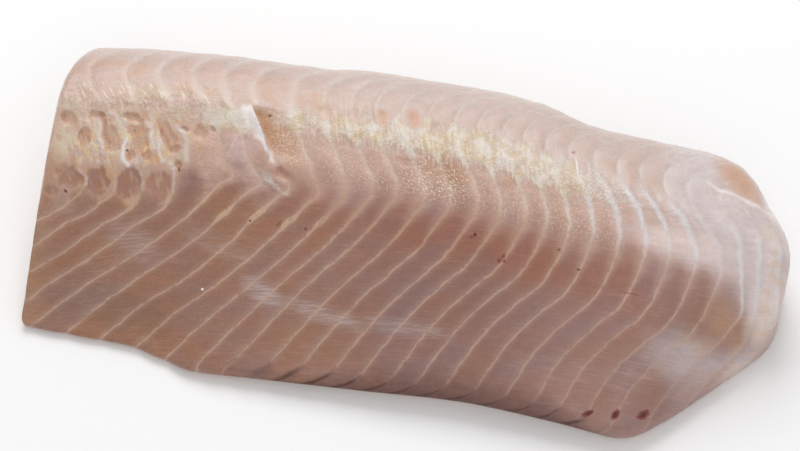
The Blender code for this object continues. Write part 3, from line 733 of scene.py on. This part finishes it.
def make_skin():
    """The whole body. Columns that come within MERGE_WITHIN of an end run into its rim."""
    places, numbers, x = skin_grid()
    skin = Skin()
    left, right = x.min(), x.max()
    first = np.argmax(x > left + MERGE_WITHIN, axis=1)
    last = x.shape[1] - 1 - np.argmax(x[:, ::-1] < right - MERGE_WITHIN, axis=1)
    rims = []
    for end in (left, right):
        level = np.full(len(places), end)
        rims.append(skin.add_points(level, places, end_number(level, places, edge_numbers(end))))
    index = np.empty(x.shape, int)
    for row, place in enumerate(places):
        inner = slice(first[row], last[row] + 1)
        level = x[row, inner]
        index[row, :first[row]] = rims[0][row]
        index[row, last[row] + 1:] = rims[1][row]
        index[row, inner] = skin.add_points(level, np.full(len(level), place), numbers[inner])
    columns = index.T
    for here, there in zip(columns, columns[1:]):
        if (here != there).any():
            skin.add_strip(here, there)
    add_end(skin, rims[0], -LENGTH / 2, SQUARE_CUT_ROUND, places)
    add_end(skin, rims[1], LENGTH / 2, SLANT_CUT_ROUND, places)
    return skin


def pitch_of(points, faces, number):
    """How many segments a mm crosses at each vertex, from the faces round it."""
    total, weight = np.zeros(len(points)), np.zeros(len(points))
    triangles = np.array([(f[0], f[k], f[k + 1]) for f in faces for k in range(1, len(f) - 1)])
    a, b, c = (points[triangles[:, k]] / MM for k in range(3))
    na, nb, nc = (number[triangles[:, k]] for k in range(3))
    normal = np.cross(b - a, c - a)
    area = np.linalg.norm(normal, axis=1) + 1e-9
    gradient = np.cross(normal, (c - b) * na[:, None] + (a - c) * nb[:, None] + (b - a) * nc[:, None])
    steep = np.linalg.norm(gradient, axis=1) / area ** 2
    for k in range(3):
        np.add.at(total, triangles[:, k], steep * area)
        np.add.at(weight, triangles[:, k], area)
    return np.clip(total / np.maximum(weight, 1e-9), 0.04, 0.6)


def blend(colour, share, other):
    return colour * (1 - share[:, None]) + np.asarray(other) * share[:, None]


def flesh_tone(x, girth, number, above):
    """Broad colour of the flesh before lines, fibres and fat are drawn on it."""
    along = np.interp(x, (-100, -60, -20, 5, 50, 90, 115), (0, 0.3, 0.5, 1, 1, 0.5, 0))
    upper_edge = np.interp(x, (-90, -30, 10, 60, 110), (25, 21, 17, 18, 16))
    upper_edge = upper_edge + 4 * np.cos(2 * math.pi * number) + 2 * np.sin(x / 5)
    loin = fall(-9, 6, girth + 2 * np.sin(x / 7)) * above
    share = number % 1
    lens = (4 * share * (1 - share)) ** 2 * between(-40, -26, -16, -8, girth)
    low_loin = between(-30, -18, -3, 5, girth) * np.interp(x, (-60, 10, 80), (0.9, 0.6, 0.2))
    pale_to = np.interp(x, (96, 115, 125, 134, 138, 150), (-6, 5, 14, 19, 33, 36))
    pale = rise(88, 106, x) * fall(pale_to - 16, pale_to + 12, girth)
    colour = np.tile(FLESH_SQUARE_END, (len(x), 1))
    for share, tint in (
        (rise(-110, 90, x), FLESH_SLANTED_END),
        (0.85 * along * bell(33, 12, girth), SHOULDER),
        (0.45 * fall(upper_edge, upper_edge + 14, girth), FLESH_UPPER),
        (fall(upper_edge - 14, upper_edge + 4, girth), FLESH_UPPER),
        (loin, LOIN),
        (0.45 * loin * lens, LOIN_PINK),
        (low_loin * above, LOIN_LOW),
        (0.85 * pale * above, LOIN_SLANTED_END),
        (0.6 * fall(-150, -138, x) * rise(5, 30, girth), CUT_TAN),
    ):
        colour = blend(colour, share, tint)
    x, girth = unsettled(x, girth, *UNSETTLED)
    for *spot, strength, red, green, blue in PATCHES + ORANGE:
        colour = blend(colour, strength * above * soft_spot(x, girth, spot), srgb(red, green, blue))
    return blend(colour, 1 - above, UNDERSIDE)


def fat_share(x, girth, number):
    """Share of fat in the seam between loin and flank, which runs on along the borders."""
    on_border = (0.5 + 0.5 * np.cos(2 * math.pi * number)) ** np.interp(x, (50, 78), (2, 5))
    upper = smooth_through(SEAM_UPPER, x) - 2 * on_border * rise(-60, -30, x)
    lower = smooth_through(SEAM_LOWER, x) + 3.5 * on_border * rise(-75, -45, x)
    seam = rise(-5, 3.5, girth - upper) * fall(-3.5, 3, girth - lower)
    off_border = np.interp(x, (55, 85), (0.75, 0.4))
    seam = seam * fall(96, 124, x) * (off_border + (1 - off_border) * on_border)
    seam = seam * (0.6 + 0.4 * rise(-96, -82, x))
    return seam * (1 - slit_hollow(x, girth)) * (1 - orange_share(x, girth) ** 0.5)


def orange_share(x, girth):
    """Where the fat of the seam is missing."""
    return np.max([soft_spot(x, girth, spot[:5]) for spot in ORANGE], axis=0)


def streak_shares(x, girth):
    """Where streaks run up from the fat, and where dashes cross it at the square cut."""
    streaked = between(-24, -8, -2, 8, girth) * between(-60, -30, 62, 84, x)
    dashed = between(-13, -9, -1, 3, girth) * fall(-92, -80, x)
    return streaked * (1 - 0.8 * orange_share(x, girth)), dashed


def stained_share(x, girth):
    """Where the lower loin has orange stains."""
    return between(-30, -20, -8, -2, girth) * np.interp(x, (-60, 0, 90, 110), (1, 0.5, 0.5, 0))


def lattice_share(x, girth):
    """Where torn tissue fills the room between the pits of the upper rows."""
    return soft_spot(x, girth, LATTICE) ** 0.5 * between(-2, 4, 33, 41, girth) * fall(-94, -86, x)


def sparkle_share(x, girth):
    """Where painted glints stand for the glitter of the wet fat and the fibres next to it."""
    seam = 0.5 * bell(-2, 8, girth) * (0.5 + 0.5 * rise(-70, -50, x)) * fall(70, 100, x)
    strong = soft_spot(x, girth, (11, 10, 20, 11, 10)) ** 0.5
    beside_slit = 0.55 * soft_spot(x, girth, (-53, 7, 18, 10, 50))
    middle = 0.35 * between(2, 8, 16, 24, girth) * between(-50, -30, 70, 95, x)
    in_torn = 0.2 * soft_spot(x, girth, TORN) * fall(19, 26, girth)
    return np.max([seam, strong, beside_slit, middle, in_torn], axis=0)


def sheen_share(x, girth):
    """Where painted sheen stands for the shine of wet flesh, in a long streak over the lower flank."""
    return np.max([soft_spot(x, girth, spot) * share for *spot, share in SHEEN], axis=0)


def fibre_lean(x, girth):
    """How steeply the fibres of a segment cross it: a little up along the flank, and down under the fat."""
    return 0.16 - 0.75 * between(-2, 4, 16, 26, girth) * fall(40, 90, x)


def line_looks(x, girth, number, knots, on_cut, fades):
    """Half width, softness, strength and whiteness of the lines between segments.

    A fade is the share of a line's strength that is lost somewhere.
    """
    wider = 1 + 0.3 * rise(66, 84, x) * bell(7, 9, girth)
    half_width = smooth_through(LINE_HALF_WIDTH, girth) * wider + 0.9 * knots
    border = np.round(number)
    strength = smooth_through(LINE_STRENGTH, girth)
    for fade in (
        *fades,
        0.5 * rise(-20, 10, x) * fall(-20, -6, girth),
        0.5 * np.isin(border, FAINT_BORDERS) * fall(14, 30, girth),
        0.8 * np.isin(border, FORKED_BORDERS) * fall(37.5, 41.5, girth),
        0.95 * soft_spot(x, girth, TORN) ** 0.5,
        0.8 * slit_hollow(x, girth),
        0.5 * rise(30, 110, x) * rise(36, 62, girth),
        -0.15 * fall(-60, 0, x),
        0.6 * on_cut,
        0.65 * rise(55, 80, x) * fall(-14, -2, girth),
        0.35 * between(-48, -34, 45, 70, x) * fall(14, 26, girth),
    ):
        strength = strength * (1 - fade)
    strength = strength + 0.15 * fall(-58, -46, girth) * (1 - on_cut)
    white_to = np.interp(x, (-90, -50, -20, 50, 70, 120, 132), (8, 14, 20, 20, 17, 17, 27))
    whiteness = fall(white_to - 8, white_to + 6, girth) * (1 - on_cut)
    return half_width, smooth_through(LINE_SOFTNESS, girth), strength, whiteness


def paint(mesh, points, skin):
    """Stores what the material reads at each vertex."""
    x, place, number, scale = np.concatenate(skin.spots).T
    x = x / MM
    cap = 1 - scale
    girth = girth_round(x, place)
    above = between(SKIN_FROM, SKIN_FROM + 0.8, SKIN_TO - 0.8, SKIN_TO, place)
    flesh = flesh_tone(x, girth, number, above)
    cut_colour = np.where(x[:, None] > 0, LOIN_SLANTED_END, CUT_FLESH)
    flesh = blend(flesh, 0.75 * rise(0.0, 0.4, cap), cut_colour)
    on_cut = rise(0, 0.1, cap)
    above = above * (1 - on_cut)
    uneven = unsettled(x, girth, *UNSETTLED)
    walls = np.maximum(wall_share(*uneven, WALLS), 0.9 * near_line(*uneven, LOIN_LINE))
    joints = wall_share(*uneven, JOINTS)
    knots = knot_share(girth, number) * above
    in_tan = soft_spot(x, girth, TAN_END) ** 0.5
    arcs_gap = beside_leg(x, girth, *ARCS_ROUND, stop=None)[1]
    arcs = rise(86, 100, x) * between(-66, -50, -9, -3, girth) * fall(20, 34, arcs_gap)
    to_rim = girth_at(x * MM, RIM_PLACE) / MM - girth
    beyond, slit_open = beyond_slit(*uneven)
    pit_radius, pit_darkness = pit_radii(*uneven)
    pit_darkness = pit_darkness * np.interp(girth, (7, 13), (0.78, 1))
    streaked, dashed = streak_shares(x, girth)
    stored = {
        "flesh": (*flesh.T, np.ones(len(x))),
        "lines": line_looks(x, girth, number, knots, on_cut, (0.9 * arcs, in_tan)),
        "cover": (fat_share(x, girth, number) * above, walls * above, sparkle_share(x, girth) * above, knots),
        "extra": (arcs * (1 - in_tan) * above, arcs_gap, above, soft_spot(x, girth, TORN) ** 0.5),
        "seam": (streaked * above, dashed * above, stained_share(x, girth) * above, joints * above),
        "cells": (np.minimum(pit_radius, 3) + 3 * (1 - above), pit_darkness, lattice_share(*uneven) * above,
                  fibre_lean(x, girth)),
        "edges": (np.clip(beyond, -30, 30), slit_open * above, to_rim, sheen_share(x, girth) * above),
        "spot": (x + RING_OF_CUT * cap * np.sign(x), girth, number, pitch_of(points, skin.faces, number)),
    }
    for name, values in stored.items():
        attribute = mesh.attributes.new(name, "FLOAT_COLOR", "POINT")
        attribute.data.foreach_set("color", np.column_stack(values).astype(np.float32).ravel())


class Wired:
    """An output of a shader node, as a number to work on with + - * / and with steps and swings."""

    def __init__(self, wiring, socket):
        self.wiring, self.socket = wiring, socket

    def __add__(self, other):
        return self.wiring.math("ADD", self, other)

    def __sub__(self, other):
        return self.wiring.math("SUBTRACT", self, other)

    def __rsub__(self, other):
        return self.wiring.math("SUBTRACT", other, self)

    def __mul__(self, other):
        return self.wiring.math("MULTIPLY", self, other)

    def __truediv__(self, other):
        return self.wiring.math("DIVIDE", self, other)

    __radd__ = __add__
    __rmul__ = __mul__

    def rise(self, start, end):
        """0 below start, 1 above end, smooth between them."""
        sockets = {"Value": self, "From Min": start, "From Max": end}
        return self.wiring.put("ShaderNodeMapRange", sockets, interpolation_type="SMOOTHSTEP")

    def fall(self, start, end):
        """1 below start, 0 above end, smooth between them."""
        return 1.0 - self.rise(start, end)

    def between(self, start, full, drop, end):
        """0 below start, 1 from full to drop, and 0 again above end."""
        return self.rise(start, full) * self.fall(drop, end)

    def swing(self, amount):
        """A noise about 0, this far up and down."""
        return (self - 0.5) * (2 * amount)


class Wiring:
    """Short calls that add a shader node and give back its output."""

    def __init__(self, tree):
        self.tree = tree

    def wire(self, node, inputs):
        """Gives inputs of the node their values, which may be outputs of other nodes."""
        for name, value in inputs.items():
            if isinstance(value, Wired):
                self.tree.links.new(value.socket, node.inputs[name])
            else:
                node.inputs[name].default_value = value

    def put(self, kind, inputs, output=0, **settings):
        node = self.tree.nodes.new(kind)
        for name, value in settings.items():
            setattr(node, name, value)
        self.wire(node, inputs)
        return Wired(self, node.outputs[output])

    def math(self, operation, first, second=0.0):
        return self.put("ShaderNodeMath", {0: first, 1: second}, operation=operation)

    def mix(self, share, first, second, way="MIX"):
        """The first colour, with this share of it replaced by the second."""
        sockets = {0: share, 6: as_colour(first), 7: as_colour(second)}
        return self.put("ShaderNodeMix", sockets, 2, data_type="RGBA", blend_type=way)

    def tinted(self, colour, share, tint):
        """The colour, with this share of it multiplied by a tint."""
        return self.mix(share, colour, tint, "MULTIPLY")

    def valued(self, colour, value):
        """The colour at this many times its brightness."""
        return self.put("ShaderNodeHueSaturation", {"Color": colour, "Value": value})

    def vector(self, x, y, z=0.0):
        return self.put("ShaderNodeCombineXYZ", {0: x, 1: y, 2: z})

    def noise(self, vector, scale, detail=2.0, roughness=0.5):
        sockets = {"Vector": vector, "Scale": scale, "Detail": detail, "Roughness": roughness}
        return self.put("ShaderNodeTexNoise", sockets)

    def oval(self, vector, middle_x, middle_girth, half_length, half_width, tilt):
        """Radius in an oval spot, 1 on its rim."""
        mapped = self.put("ShaderNodeMapping", {
            "Vector": vector, "Location": (middle_x, middle_girth, 0.0),
            "Rotation": (0.0, 0.0, math.radians(tilt)), "Scale": (half_length, half_width, 1.0),
        }, vector_type="TEXTURE")
        return self.put("ShaderNodeVectorMath", {0: mapped}, "Value", operation="LENGTH")

    def stored(self, name):
        """The colour that paint() stored under this name, then the four numbers that it holds."""
        node = self.tree.nodes.new("ShaderNodeAttribute")
        node.attribute_name = name
        parts = self.tree.nodes.new("ShaderNodeSeparateColor")
        self.tree.links.new(node.outputs["Color"], parts.inputs[0])
        sockets = (node.outputs["Color"], *parts.outputs, node.outputs["Alpha"])
        return [Wired(self, socket) for socket in sockets]


def as_colour(value):
    return value if isinstance(value, Wired) else (*[float(v) for v in value], 1.0)[:4]


class Place:
    """What paint() stored at a point of the skin, with the noises that several looks share."""

    def __init__(self, w):
        self.flesh = w.stored("flesh")[0]
        _, self.half_width, self.softness, self.strength, self.whiteness = w.stored("lines")
        _, self.fat, self.wall, self.spark, self.knots = w.stored("cover")
        _, self.arcs, self.arcs_gap, self.above, self.torn = w.stored("extra")
        _, self.pit_radius, self.pit_darkness, self.lattice, self.lean = w.stored("cells")
        _, self.beyond_slit, self.slit_open, self.to_rim, self.sheen = w.stored("edges")
        _, self.streaked, self.dashed, self.stained, self.joints = w.stored("seam")
        _, self.x, self.girth, self.number, self.pitch = w.stored("spot")
        self.flat = w.vector(self.x, self.girth, self.above)
        self.broad = w.noise(self.flat, 0.07)
        self.mottle = w.noise(self.flat, 0.35, 3.0, 0.6)
        self.grain = w.noise(self.flat, 1.3, 2.0, 0.6)
        self.along = self.x - self.girth * 0.16
        self.across = self.girth + w.math("FRACT", self.number) * self.lean * SEGMENT_LENGTH
        own = w.math("FLOOR", self.number) * 3.7
        self.fibres = w.noise(w.vector(self.along * 0.11, self.across * 1.4, own), 1.0, 2.0, 0.6)
        self.bundles = w.noise(w.vector(self.along * 0.06, self.across * 0.45, own), 1.0)
        self.segment_tone = w.noise(w.vector(self.x * 0.025, self.girth * 0.045, own), 1.0)
        waver = w.noise(self.flat, 0.16).swing(0.7) + w.noise(self.flat, 0.7).swing(0.25)
        self.waver = waver * (1.0 + self.girth.fall(0, 30) * 0.6)
        self.near_rim = self.x.between(-75, -25, 80, 97) * self.above
        hook = w.math("POWER", self.to_rim.fall(0, 12), 2.0) * self.near_rim * 0.55
        self.shifted = self.number + self.waver * self.pitch + hook
        self.gap = w.math("PINGPONG", self.shifted, 0.5) / self.pitch


def muscle_colour(w, at):
    """Flesh with its fibres, mottles and the different tint of each segment, a painted shade just past each
    border, and painted sheen.
    """
    contrast = at.girth.rise(-10, 5) * 0.05 + 0.15
    beside_torn = at.x.between(-95, -82, -64, -50) * at.girth.between(0, 8, 28, 38)
    value = 1.0 + (at.fibres - 0.5) * contrast + (at.bundles - 0.5) * contrast * 0.7
    value = value + (at.mottle - 0.5) * (0.20 + beside_torn * 0.35) + (at.broad - 0.5) * 0.16
    value = value + (at.grain - 0.5) * (0.26 + at.x.fall(-90, -10) * 0.24)
    # Painted shade: each segment a little darker just past its border, where its crown turns away from the
    # light
    value = value - w.math("FRACT", at.shifted).between(0.02, 0.12, 0.12, 0.5) * 0.06
    colour = w.valued(at.flesh, value)
    in_flank = at.girth.rise(10, 30) * at.above
    tan = 0.45 + at.x.fall(-60, 60) * 0.45
    colour = w.tinted(colour, at.segment_tone.rise(0.48, 0.64) * in_flank, MAUVE_TINT)
    colour = w.tinted(colour, at.segment_tone.fall(0.34, 0.50) * in_flank * tan, TAN_TINT)
    dark_hairs = at.fibres.fall(0.34, 0.44) * at.mottle.rise(0.40, 0.55)
    colour = w.tinted(colour, dark_hairs * in_flank * 0.3, DARK_HAIR_TINT)
    stains = (at.broad * 0.5 + at.mottle * 0.5).rise(0.48, 0.62)
    colour = w.mix(stains * at.stained * 0.5, colour, LOIN_STAIN)
    pale_hairs = at.fibres.rise(0.57, 0.68) * at.broad.rise(0.40, 0.60)
    colour = w.mix(pale_hairs * at.girth.rise(0, 8) * 0.11, colour, PALE_HAIR)
    # Painted sheen of the wet flesh, streaked along the fibres
    shining = at.sheen * (0.35 + at.fibres.rise(0.42, 0.62) * 0.65)
    return w.mix(shining * 0.55, colour, SHEEN_COLOUR)


def line_parts(w, at):
    """Share of the lines between segments, and their colour."""
    on_shoulder = at.girth.between(12, 21, 34, 46) * at.x.between(-50, -28, 48, 66)
    width = at.half_width * (at.broad * 0.6 + at.mottle * 1.3) * (1.0 + on_shoulder * 0.45)
    gap = at.gap + at.knots * (at.grain.swing(0.7) + at.mottle.swing(1.2))
    off_rim = w.math("MAXIMUM", 1.0 - at.near_rim, at.to_rim.rise(6, 11))
    line = gap.fall(width - at.softness, width + at.softness)
    line = line * at.strength * at.mottle.rise(0.15, 0.5) * off_rim
    white = w.mix(at.x.rise(40, 80), SEPTUM_PALE, SEPTUM_WHITE)
    colour = w.mix(at.girth.rise(-12, 0), LOIN_WHITE, white)
    colour = w.mix(at.whiteness, SEPTUM_CREAM, colour)
    colour = w.mix(on_shoulder * 0.75, colour, SHOULDER_LINE)
    yellow = at.knots.rise(0.1, 0.6) * at.mottle.rise(0.3, 0.6)
    return line, w.mix(yellow, colour, SEPTUM_YELLOW)


def with_lines(w, at, colour, line, line_colour):
    """The lines between segments with a faint halo, and the fine arcs of the loin near the slanted cut."""
    halo = at.gap.fall(0.0, at.half_width * 2.0 + 2.2)
    colour = w.mix(halo * at.strength * 0.25, colour, line_colour)
    colour = w.mix(line, colour, line_colour)
    rounds = w.math("PINGPONG", at.arcs_gap + at.waver * 1.6, ARC_PITCH / 2)
    ring = rounds.fall(0.1, 1.3) * at.mottle.rise(0.30, 0.70) * at.broad.rise(0.35, 0.6)
    return w.mix(ring * at.arcs * 0.42, colour, LOIN_WHITE)


def with_painted_rim_shade(w, at, colour):
    """Painted shade, reddish brown, along the undercut belly edge, with wedges of painted shadow up the ends
    of the lines, and its share.
    """
    reach = at.to_rim + at.mottle.swing(2.0)
    wide = reach.fall(-2, 15) * 5.0
    wedge = (at.gap - wide).fall(-3.4, 0.8) * reach.fall(8, 17)
    height = 8.0 + at.x.between(-30, 15, 62, 88) * 12.0
    strip = reach.fall(-1, height) * 0.82
    dark = w.math("MAXIMUM", wedge, strip) * at.near_rim
    return w.mix(dark * 0.92, colour, PAINTED_RIM_SHADE), dark


def with_fat(w, at, colour):
    """The cream and yellow seam, ragged, streaked and dashed at the square cut, and its share."""
    ragged = at.fat + at.grain.swing(0.18) + at.mottle.swing(0.52)
    in_fat = ragged.rise(0.25, 0.95) * at.fat.rise(0.02, 0.2)
    fat_colour = w.mix(w.noise(at.flat, 0.14, 3.0, 0.65).rise(0.44, 0.60), FAT_WHITE, FAT_YELLOW)
    fat_colour = w.mix(at.x.fall(-95, -80) * 0.5, fat_colour, FAT_YELLOW)
    fat_colour = w.mix(at.x.rise(60, 90), fat_colour, FAT_BLUISH)
    value = 0.73 + at.x.rise(-95, -70) * 0.09 + at.grain * 0.12 + at.mottle * 0.20
    streaks = w.noise(w.vector(at.x * 0.62 - at.girth * 0.19, at.girth * 0.12), 1.0, 3.0, 0.6)
    cover = 0.60 + streaks.rise(0.38, 0.62) * 0.24
    colour = w.mix(in_fat * cover, colour, w.valued(fat_colour, value))
    colour = w.mix(in_fat * streaks.rise(0.56, 0.70) * 0.5, colour, FAT_BRIGHT)
    colour = w.mix(at.streaked * streaks.rise(0.50, 0.66) * 0.38, colour, FAT_WHITE)
    colour = w.tinted(colour, at.streaked * streaks.fall(0.34, 0.48) * 0.5, OCHRE_TINT)
    dashes = w.noise(w.vector(at.x * 0.80 - at.girth * 0.64, at.x * 0.10 + at.girth * 0.13), 1.0)
    colour = w.mix(at.dashed * dashes.rise(0.56, 0.64) * 0.5, colour, DASH_CREAM)
    return w.tinted(colour, at.dashed * dashes.fall(0.34, 0.46) * 0.4, OCHRE_TINT), in_fat


def with_torn_fillings(w, at, colour):
    """Pits of brown flesh with paler rims, in a ragged mesh of cream and mauve tissue."""
    spots = w.noise(w.vector(at.x * 0.36 - at.girth * 0.15, at.girth * 0.12, at.above), 1.0, 3.0, 0.55)
    clouds = w.noise(at.flat, 0.28, 3.0, 0.6)
    tissue = w.mix(clouds.rise(0.44, 0.60), TORN_MAUVE, TORN_CREAM)
    tissue = w.mix(spots.fall(0.42, 0.48) * 0.9, tissue, TORN_TAN)
    tissue = w.mix(spots.rise(0.55, 0.60) * 0.8, tissue, TORN_YELLOW)
    tissue = w.mix(at.girth.rise(19, 29) * 0.8, tissue, LOW_TISSUE)
    colour = w.mix(at.torn * spots.rise(0.50, 0.68) * 0.3, colour, TORN_MAUVE)
    colour = w.mix(at.lattice * 0.85, colour, tissue)

    radius = at.pit_radius + clouds.swing(0.35) + spots.swing(0.25)
    floor_colour = w.mix(at.pit_darkness, PIT_PALE, PIT_DARK)
    floor_colour = w.mix(spots.rise(0.52, 0.68) * 0.4, floor_colour, TORN_MAUVE)
    floor_colour = w.mix(spots.fall(0.32, 0.48) * 0.5, floor_colour, TORN_BROWN)
    colour = w.mix(radius.fall(0.70, 1.05) * 0.85, colour, floor_colour)
    rim = radius.between(0.88, 1.02, 1.06, 1.35) * (0.2 + clouds.rise(0.42, 0.58) * 0.8)
    rim_colour = w.mix(at.lattice * at.girth.fall(15, 25), RIM_CREAM, TORN_CREAM)
    colour = w.mix(rim * at.torn * 0.6, colour, rim_colour)

    ochre = w.noise(at.flat, 0.19).rise(0.50, 0.62)
    colour = w.tinted(colour, ochre * at.torn * 0.8, TORN_OCHRE_TINT)
    joint = (at.joints + at.mottle.swing(0.5)).rise(0.25, 0.75) * at.joints.rise(0.05, 0.4)
    colour = w.mix(joint * 0.85, colour, BELLY_TISSUE)
    ragged = at.wall + at.mottle.swing(0.30) + at.grain.swing(0.16)
    wall = ragged.rise(0.15, 0.85) * at.wall.rise(0.03, 0.4)
    return w.mix(wall * 0.85, colour, w.mix(ragged.rise(0.55, 1.0), WALL_MAUVE, MEMBRANE))


def with_slit(w, at, colour):
    """The white edge of the cut beside the torn fillings, and the orange-brown hollow behind it."""
    beyond = at.beyond_slit + at.mottle.swing(0.7) + at.grain.swing(0.3)
    hollow = beyond.between(0.0, 0.8, 2.5, 9.0) * at.girth.fall(4, 12)
    colour = w.mix(hollow * at.slit_open * 0.85, colour, SLIT_BROWN)
    wide = 1.0 + at.girth.between(-8, -3, 3, 12) * 3.4
    before = w.noise(at.flat, 0.3).swing(3.5) - beyond
    lip = (before / wide).fall(0.1, 1.9) * beyond.fall(-0.1, 0.5)
    lip = lip * at.girth.between(-7.5, -4.5, 15, 17.5)
    return w.mix(lip * at.above * 0.85, colour, SLIT_WHITE)


def with_end_strips(w, at, colour):
    """Cream-orange patches along the slanted cut."""
    patches = w.noise(at.flat, 0.22, 3.0, 0.6)
    strip = at.x.rise(139.5, 143) * at.girth.between(-6, 2, 32, 40) * at.above
    colour = w.mix(strip * patches.rise(0.44, 0.62) * 0.5, colour, END_ORANGE)
    return w.mix(strip * patches.fall(0.30, 0.46) * 0.4, colour, END_WHITE)


def with_glints(w, at, colour):
    """Small painted glints of the wet surface in rows along the fibres, and their share."""
    beads = w.noise(w.vector(at.along * 0.95, at.across * 1.45, at.above), 1.0, 1.0)
    glint = beads.rise(0.53, 0.66) * at.spark
    colour = w.tinted(colour, beads.fall(0.36, 0.48) * at.spark * 0.8, OCHRE_TINT)
    return w.mix(glint * 0.8, colour, SPARK), glint


def with_marks(w, at, colour):
    """Blood spots, single painted glints, and the cut vessels near the belly edge with their pale rims."""
    place = w.vector(at.x, at.girth)
    uneven = at.grain.swing(0.5)
    for spot in VESSELS:
        radius = w.oval(place, *spot)
        colour = w.mix(radius.fall(1.0, 2.2) * at.above * 0.3, colour, RIM_OF_VESSEL)
        colour = w.mix((radius + uneven).fall(0.8, 1.15) * at.above, colour, VESSEL)
        colour = w.mix((radius + uneven).fall(0.2, 0.8) * at.above, colour, VESSEL_CORE)
    for *spot, strength, red, green, blue in MARKS:
        inside = (w.oval(place, *spot) + uneven).fall(0.5, 1.3)
        colour = w.mix(inside * at.above * strength, colour, srgb(red, green, blue))
    return colour


def flesh_material():
    material = bpy.data.materials.new("moist_flesh")
    material.use_nodes = True
    w = Wiring(material.node_tree)
    at = Place(w)
    line, line_colour = line_parts(w, at)
    colour = with_lines(w, at, muscle_colour(w, at), line, line_colour)
    # Painted shade and shadow along the belly edge, whose share also roughens the surface there
    colour, rim_shade_share = with_painted_rim_shade(w, at, colour)
    colour, in_fat = with_fat(w, at, colour)
    colour = with_torn_fillings(w, at, colour)
    colour = with_slit(w, at, colour)
    colour = with_end_strips(w, at, colour)
    colour, glint = with_glints(w, at, colour)
    colour = with_marks(w, at, colour)

    soft = in_fat + at.lattice
    height = at.fibres * 0.12 + line * 0.10 + glint * 0.12
    height = height + at.grain * (soft * 0.20 + 0.08) + at.mottle * soft * 0.40
    w.wire(material.node_tree.nodes["Principled BSDF"], {
        "Base Color": colour,
        "Roughness": 0.26 + at.mottle * 0.25 + in_fat * 0.08 + rim_shade_share * 0.3,
        "Normal": w.put("ShaderNodeBump", {"Strength": 0.8, "Distance": 1.0 * MM, "Height": height}),
        "Subsurface Weight": 0.15,
        "Subsurface Radius": (1.0, 0.45, 0.3),
        "Subsurface Scale": 1.2 * MM,
        "Coat Weight": 0.16,
        "Coat Roughness": 0.2,
    })
    return material


def add_object(name, data):
    thing = bpy.data.objects.new(name, data)
    bpy.context.scene.collection.objects.link(thing)
    return thing


def make_fillet():
    skin = make_skin()
    points = np.concatenate(skin.points)
    low, high = (np.array(corner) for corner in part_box("fillet"))
    middle = (points.min(axis=0) + points.max(axis=0)) / 2
    wanted = (low + high) / 2
    points += (wanted[0] - middle[0], wanted[1] - middle[1], low[2] - points[:, 2].min())
    mesh = bpy.data.meshes.new("fillet_skin")
    mesh.from_pydata(points, [], skin.faces)
    paint(mesh, points, skin)
    mesh.shade_smooth()
    mesh.materials.append(flesh_material())
    fillet = add_object("fillet_skin", mesh)
    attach(fillet, "root")
    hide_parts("fillet")


def make_floor():
    mesh = bpy.data.meshes.new("floor")
    far = FLOOR_HALF
    mesh.from_pydata([(-far, -far, 0), (far, -far, 0), (far, far, 0), (-far, far, 0)], [], [(0, 1, 2, 3)])
    material = bpy.data.materials.new("pale_floor")
    material.use_nodes = True
    shader = material.node_tree.nodes["Principled BSDF"]
    shader.inputs["Base Color"].default_value = FLOOR_COLOUR
    shader.inputs["Roughness"].default_value = 0.7
    mesh.materials.append(material)
    floor = add_object("floor", mesh)


def add_light(name, at, size, power):
    """A square soft light at a point, turned to the object."""
    lamp = bpy.data.lights.new(name, "AREA")
    lamp.size = size
    lamp.energy = power
    light = add_object(name, lamp)
    light.location = at
    light.rotation_euler = (-Vector(at)).to_track_quat("-Z", "Y").to_euler()


def make_light():
    world = bpy.data.worlds.new("studio")
    world.use_nodes = True
    background = world.node_tree.nodes["Background"]
    background.inputs["Color"].default_value = (1.0, 1.0, 1.0, 1.0)
    background.inputs["Strength"].default_value = WORLD_STRENGTH
    bpy.context.scene.world = world
    for light in LIGHTS:
        add_light(*light)
    bpy.context.scene.view_settings.view_transform = "Standard"


def make_camera():
    azimuth, elevation = math.radians(CAMERA_AZIMUTH), math.radians(CAMERA_ELEVATION)
    back = Vector((
        math.sin(azimuth) * math.cos(elevation),
        -math.cos(azimuth) * math.cos(elevation),
        math.sin(elevation),
    ))
    lens = bpy.data.cameras.new("camera")
    lens.lens = CAMERA_LENS
    lens.clip_start = 0.01
    camera = add_object("camera", lens)
    camera.location = Vector(CAMERA_TARGET) + CAMERA_DISTANCE * back
    camera.rotation_euler = back.to_track_quat("Z", "Y").to_euler()
    bpy.context.scene.camera = camera


make_fillet()
make_floor()
make_light()
make_camera()
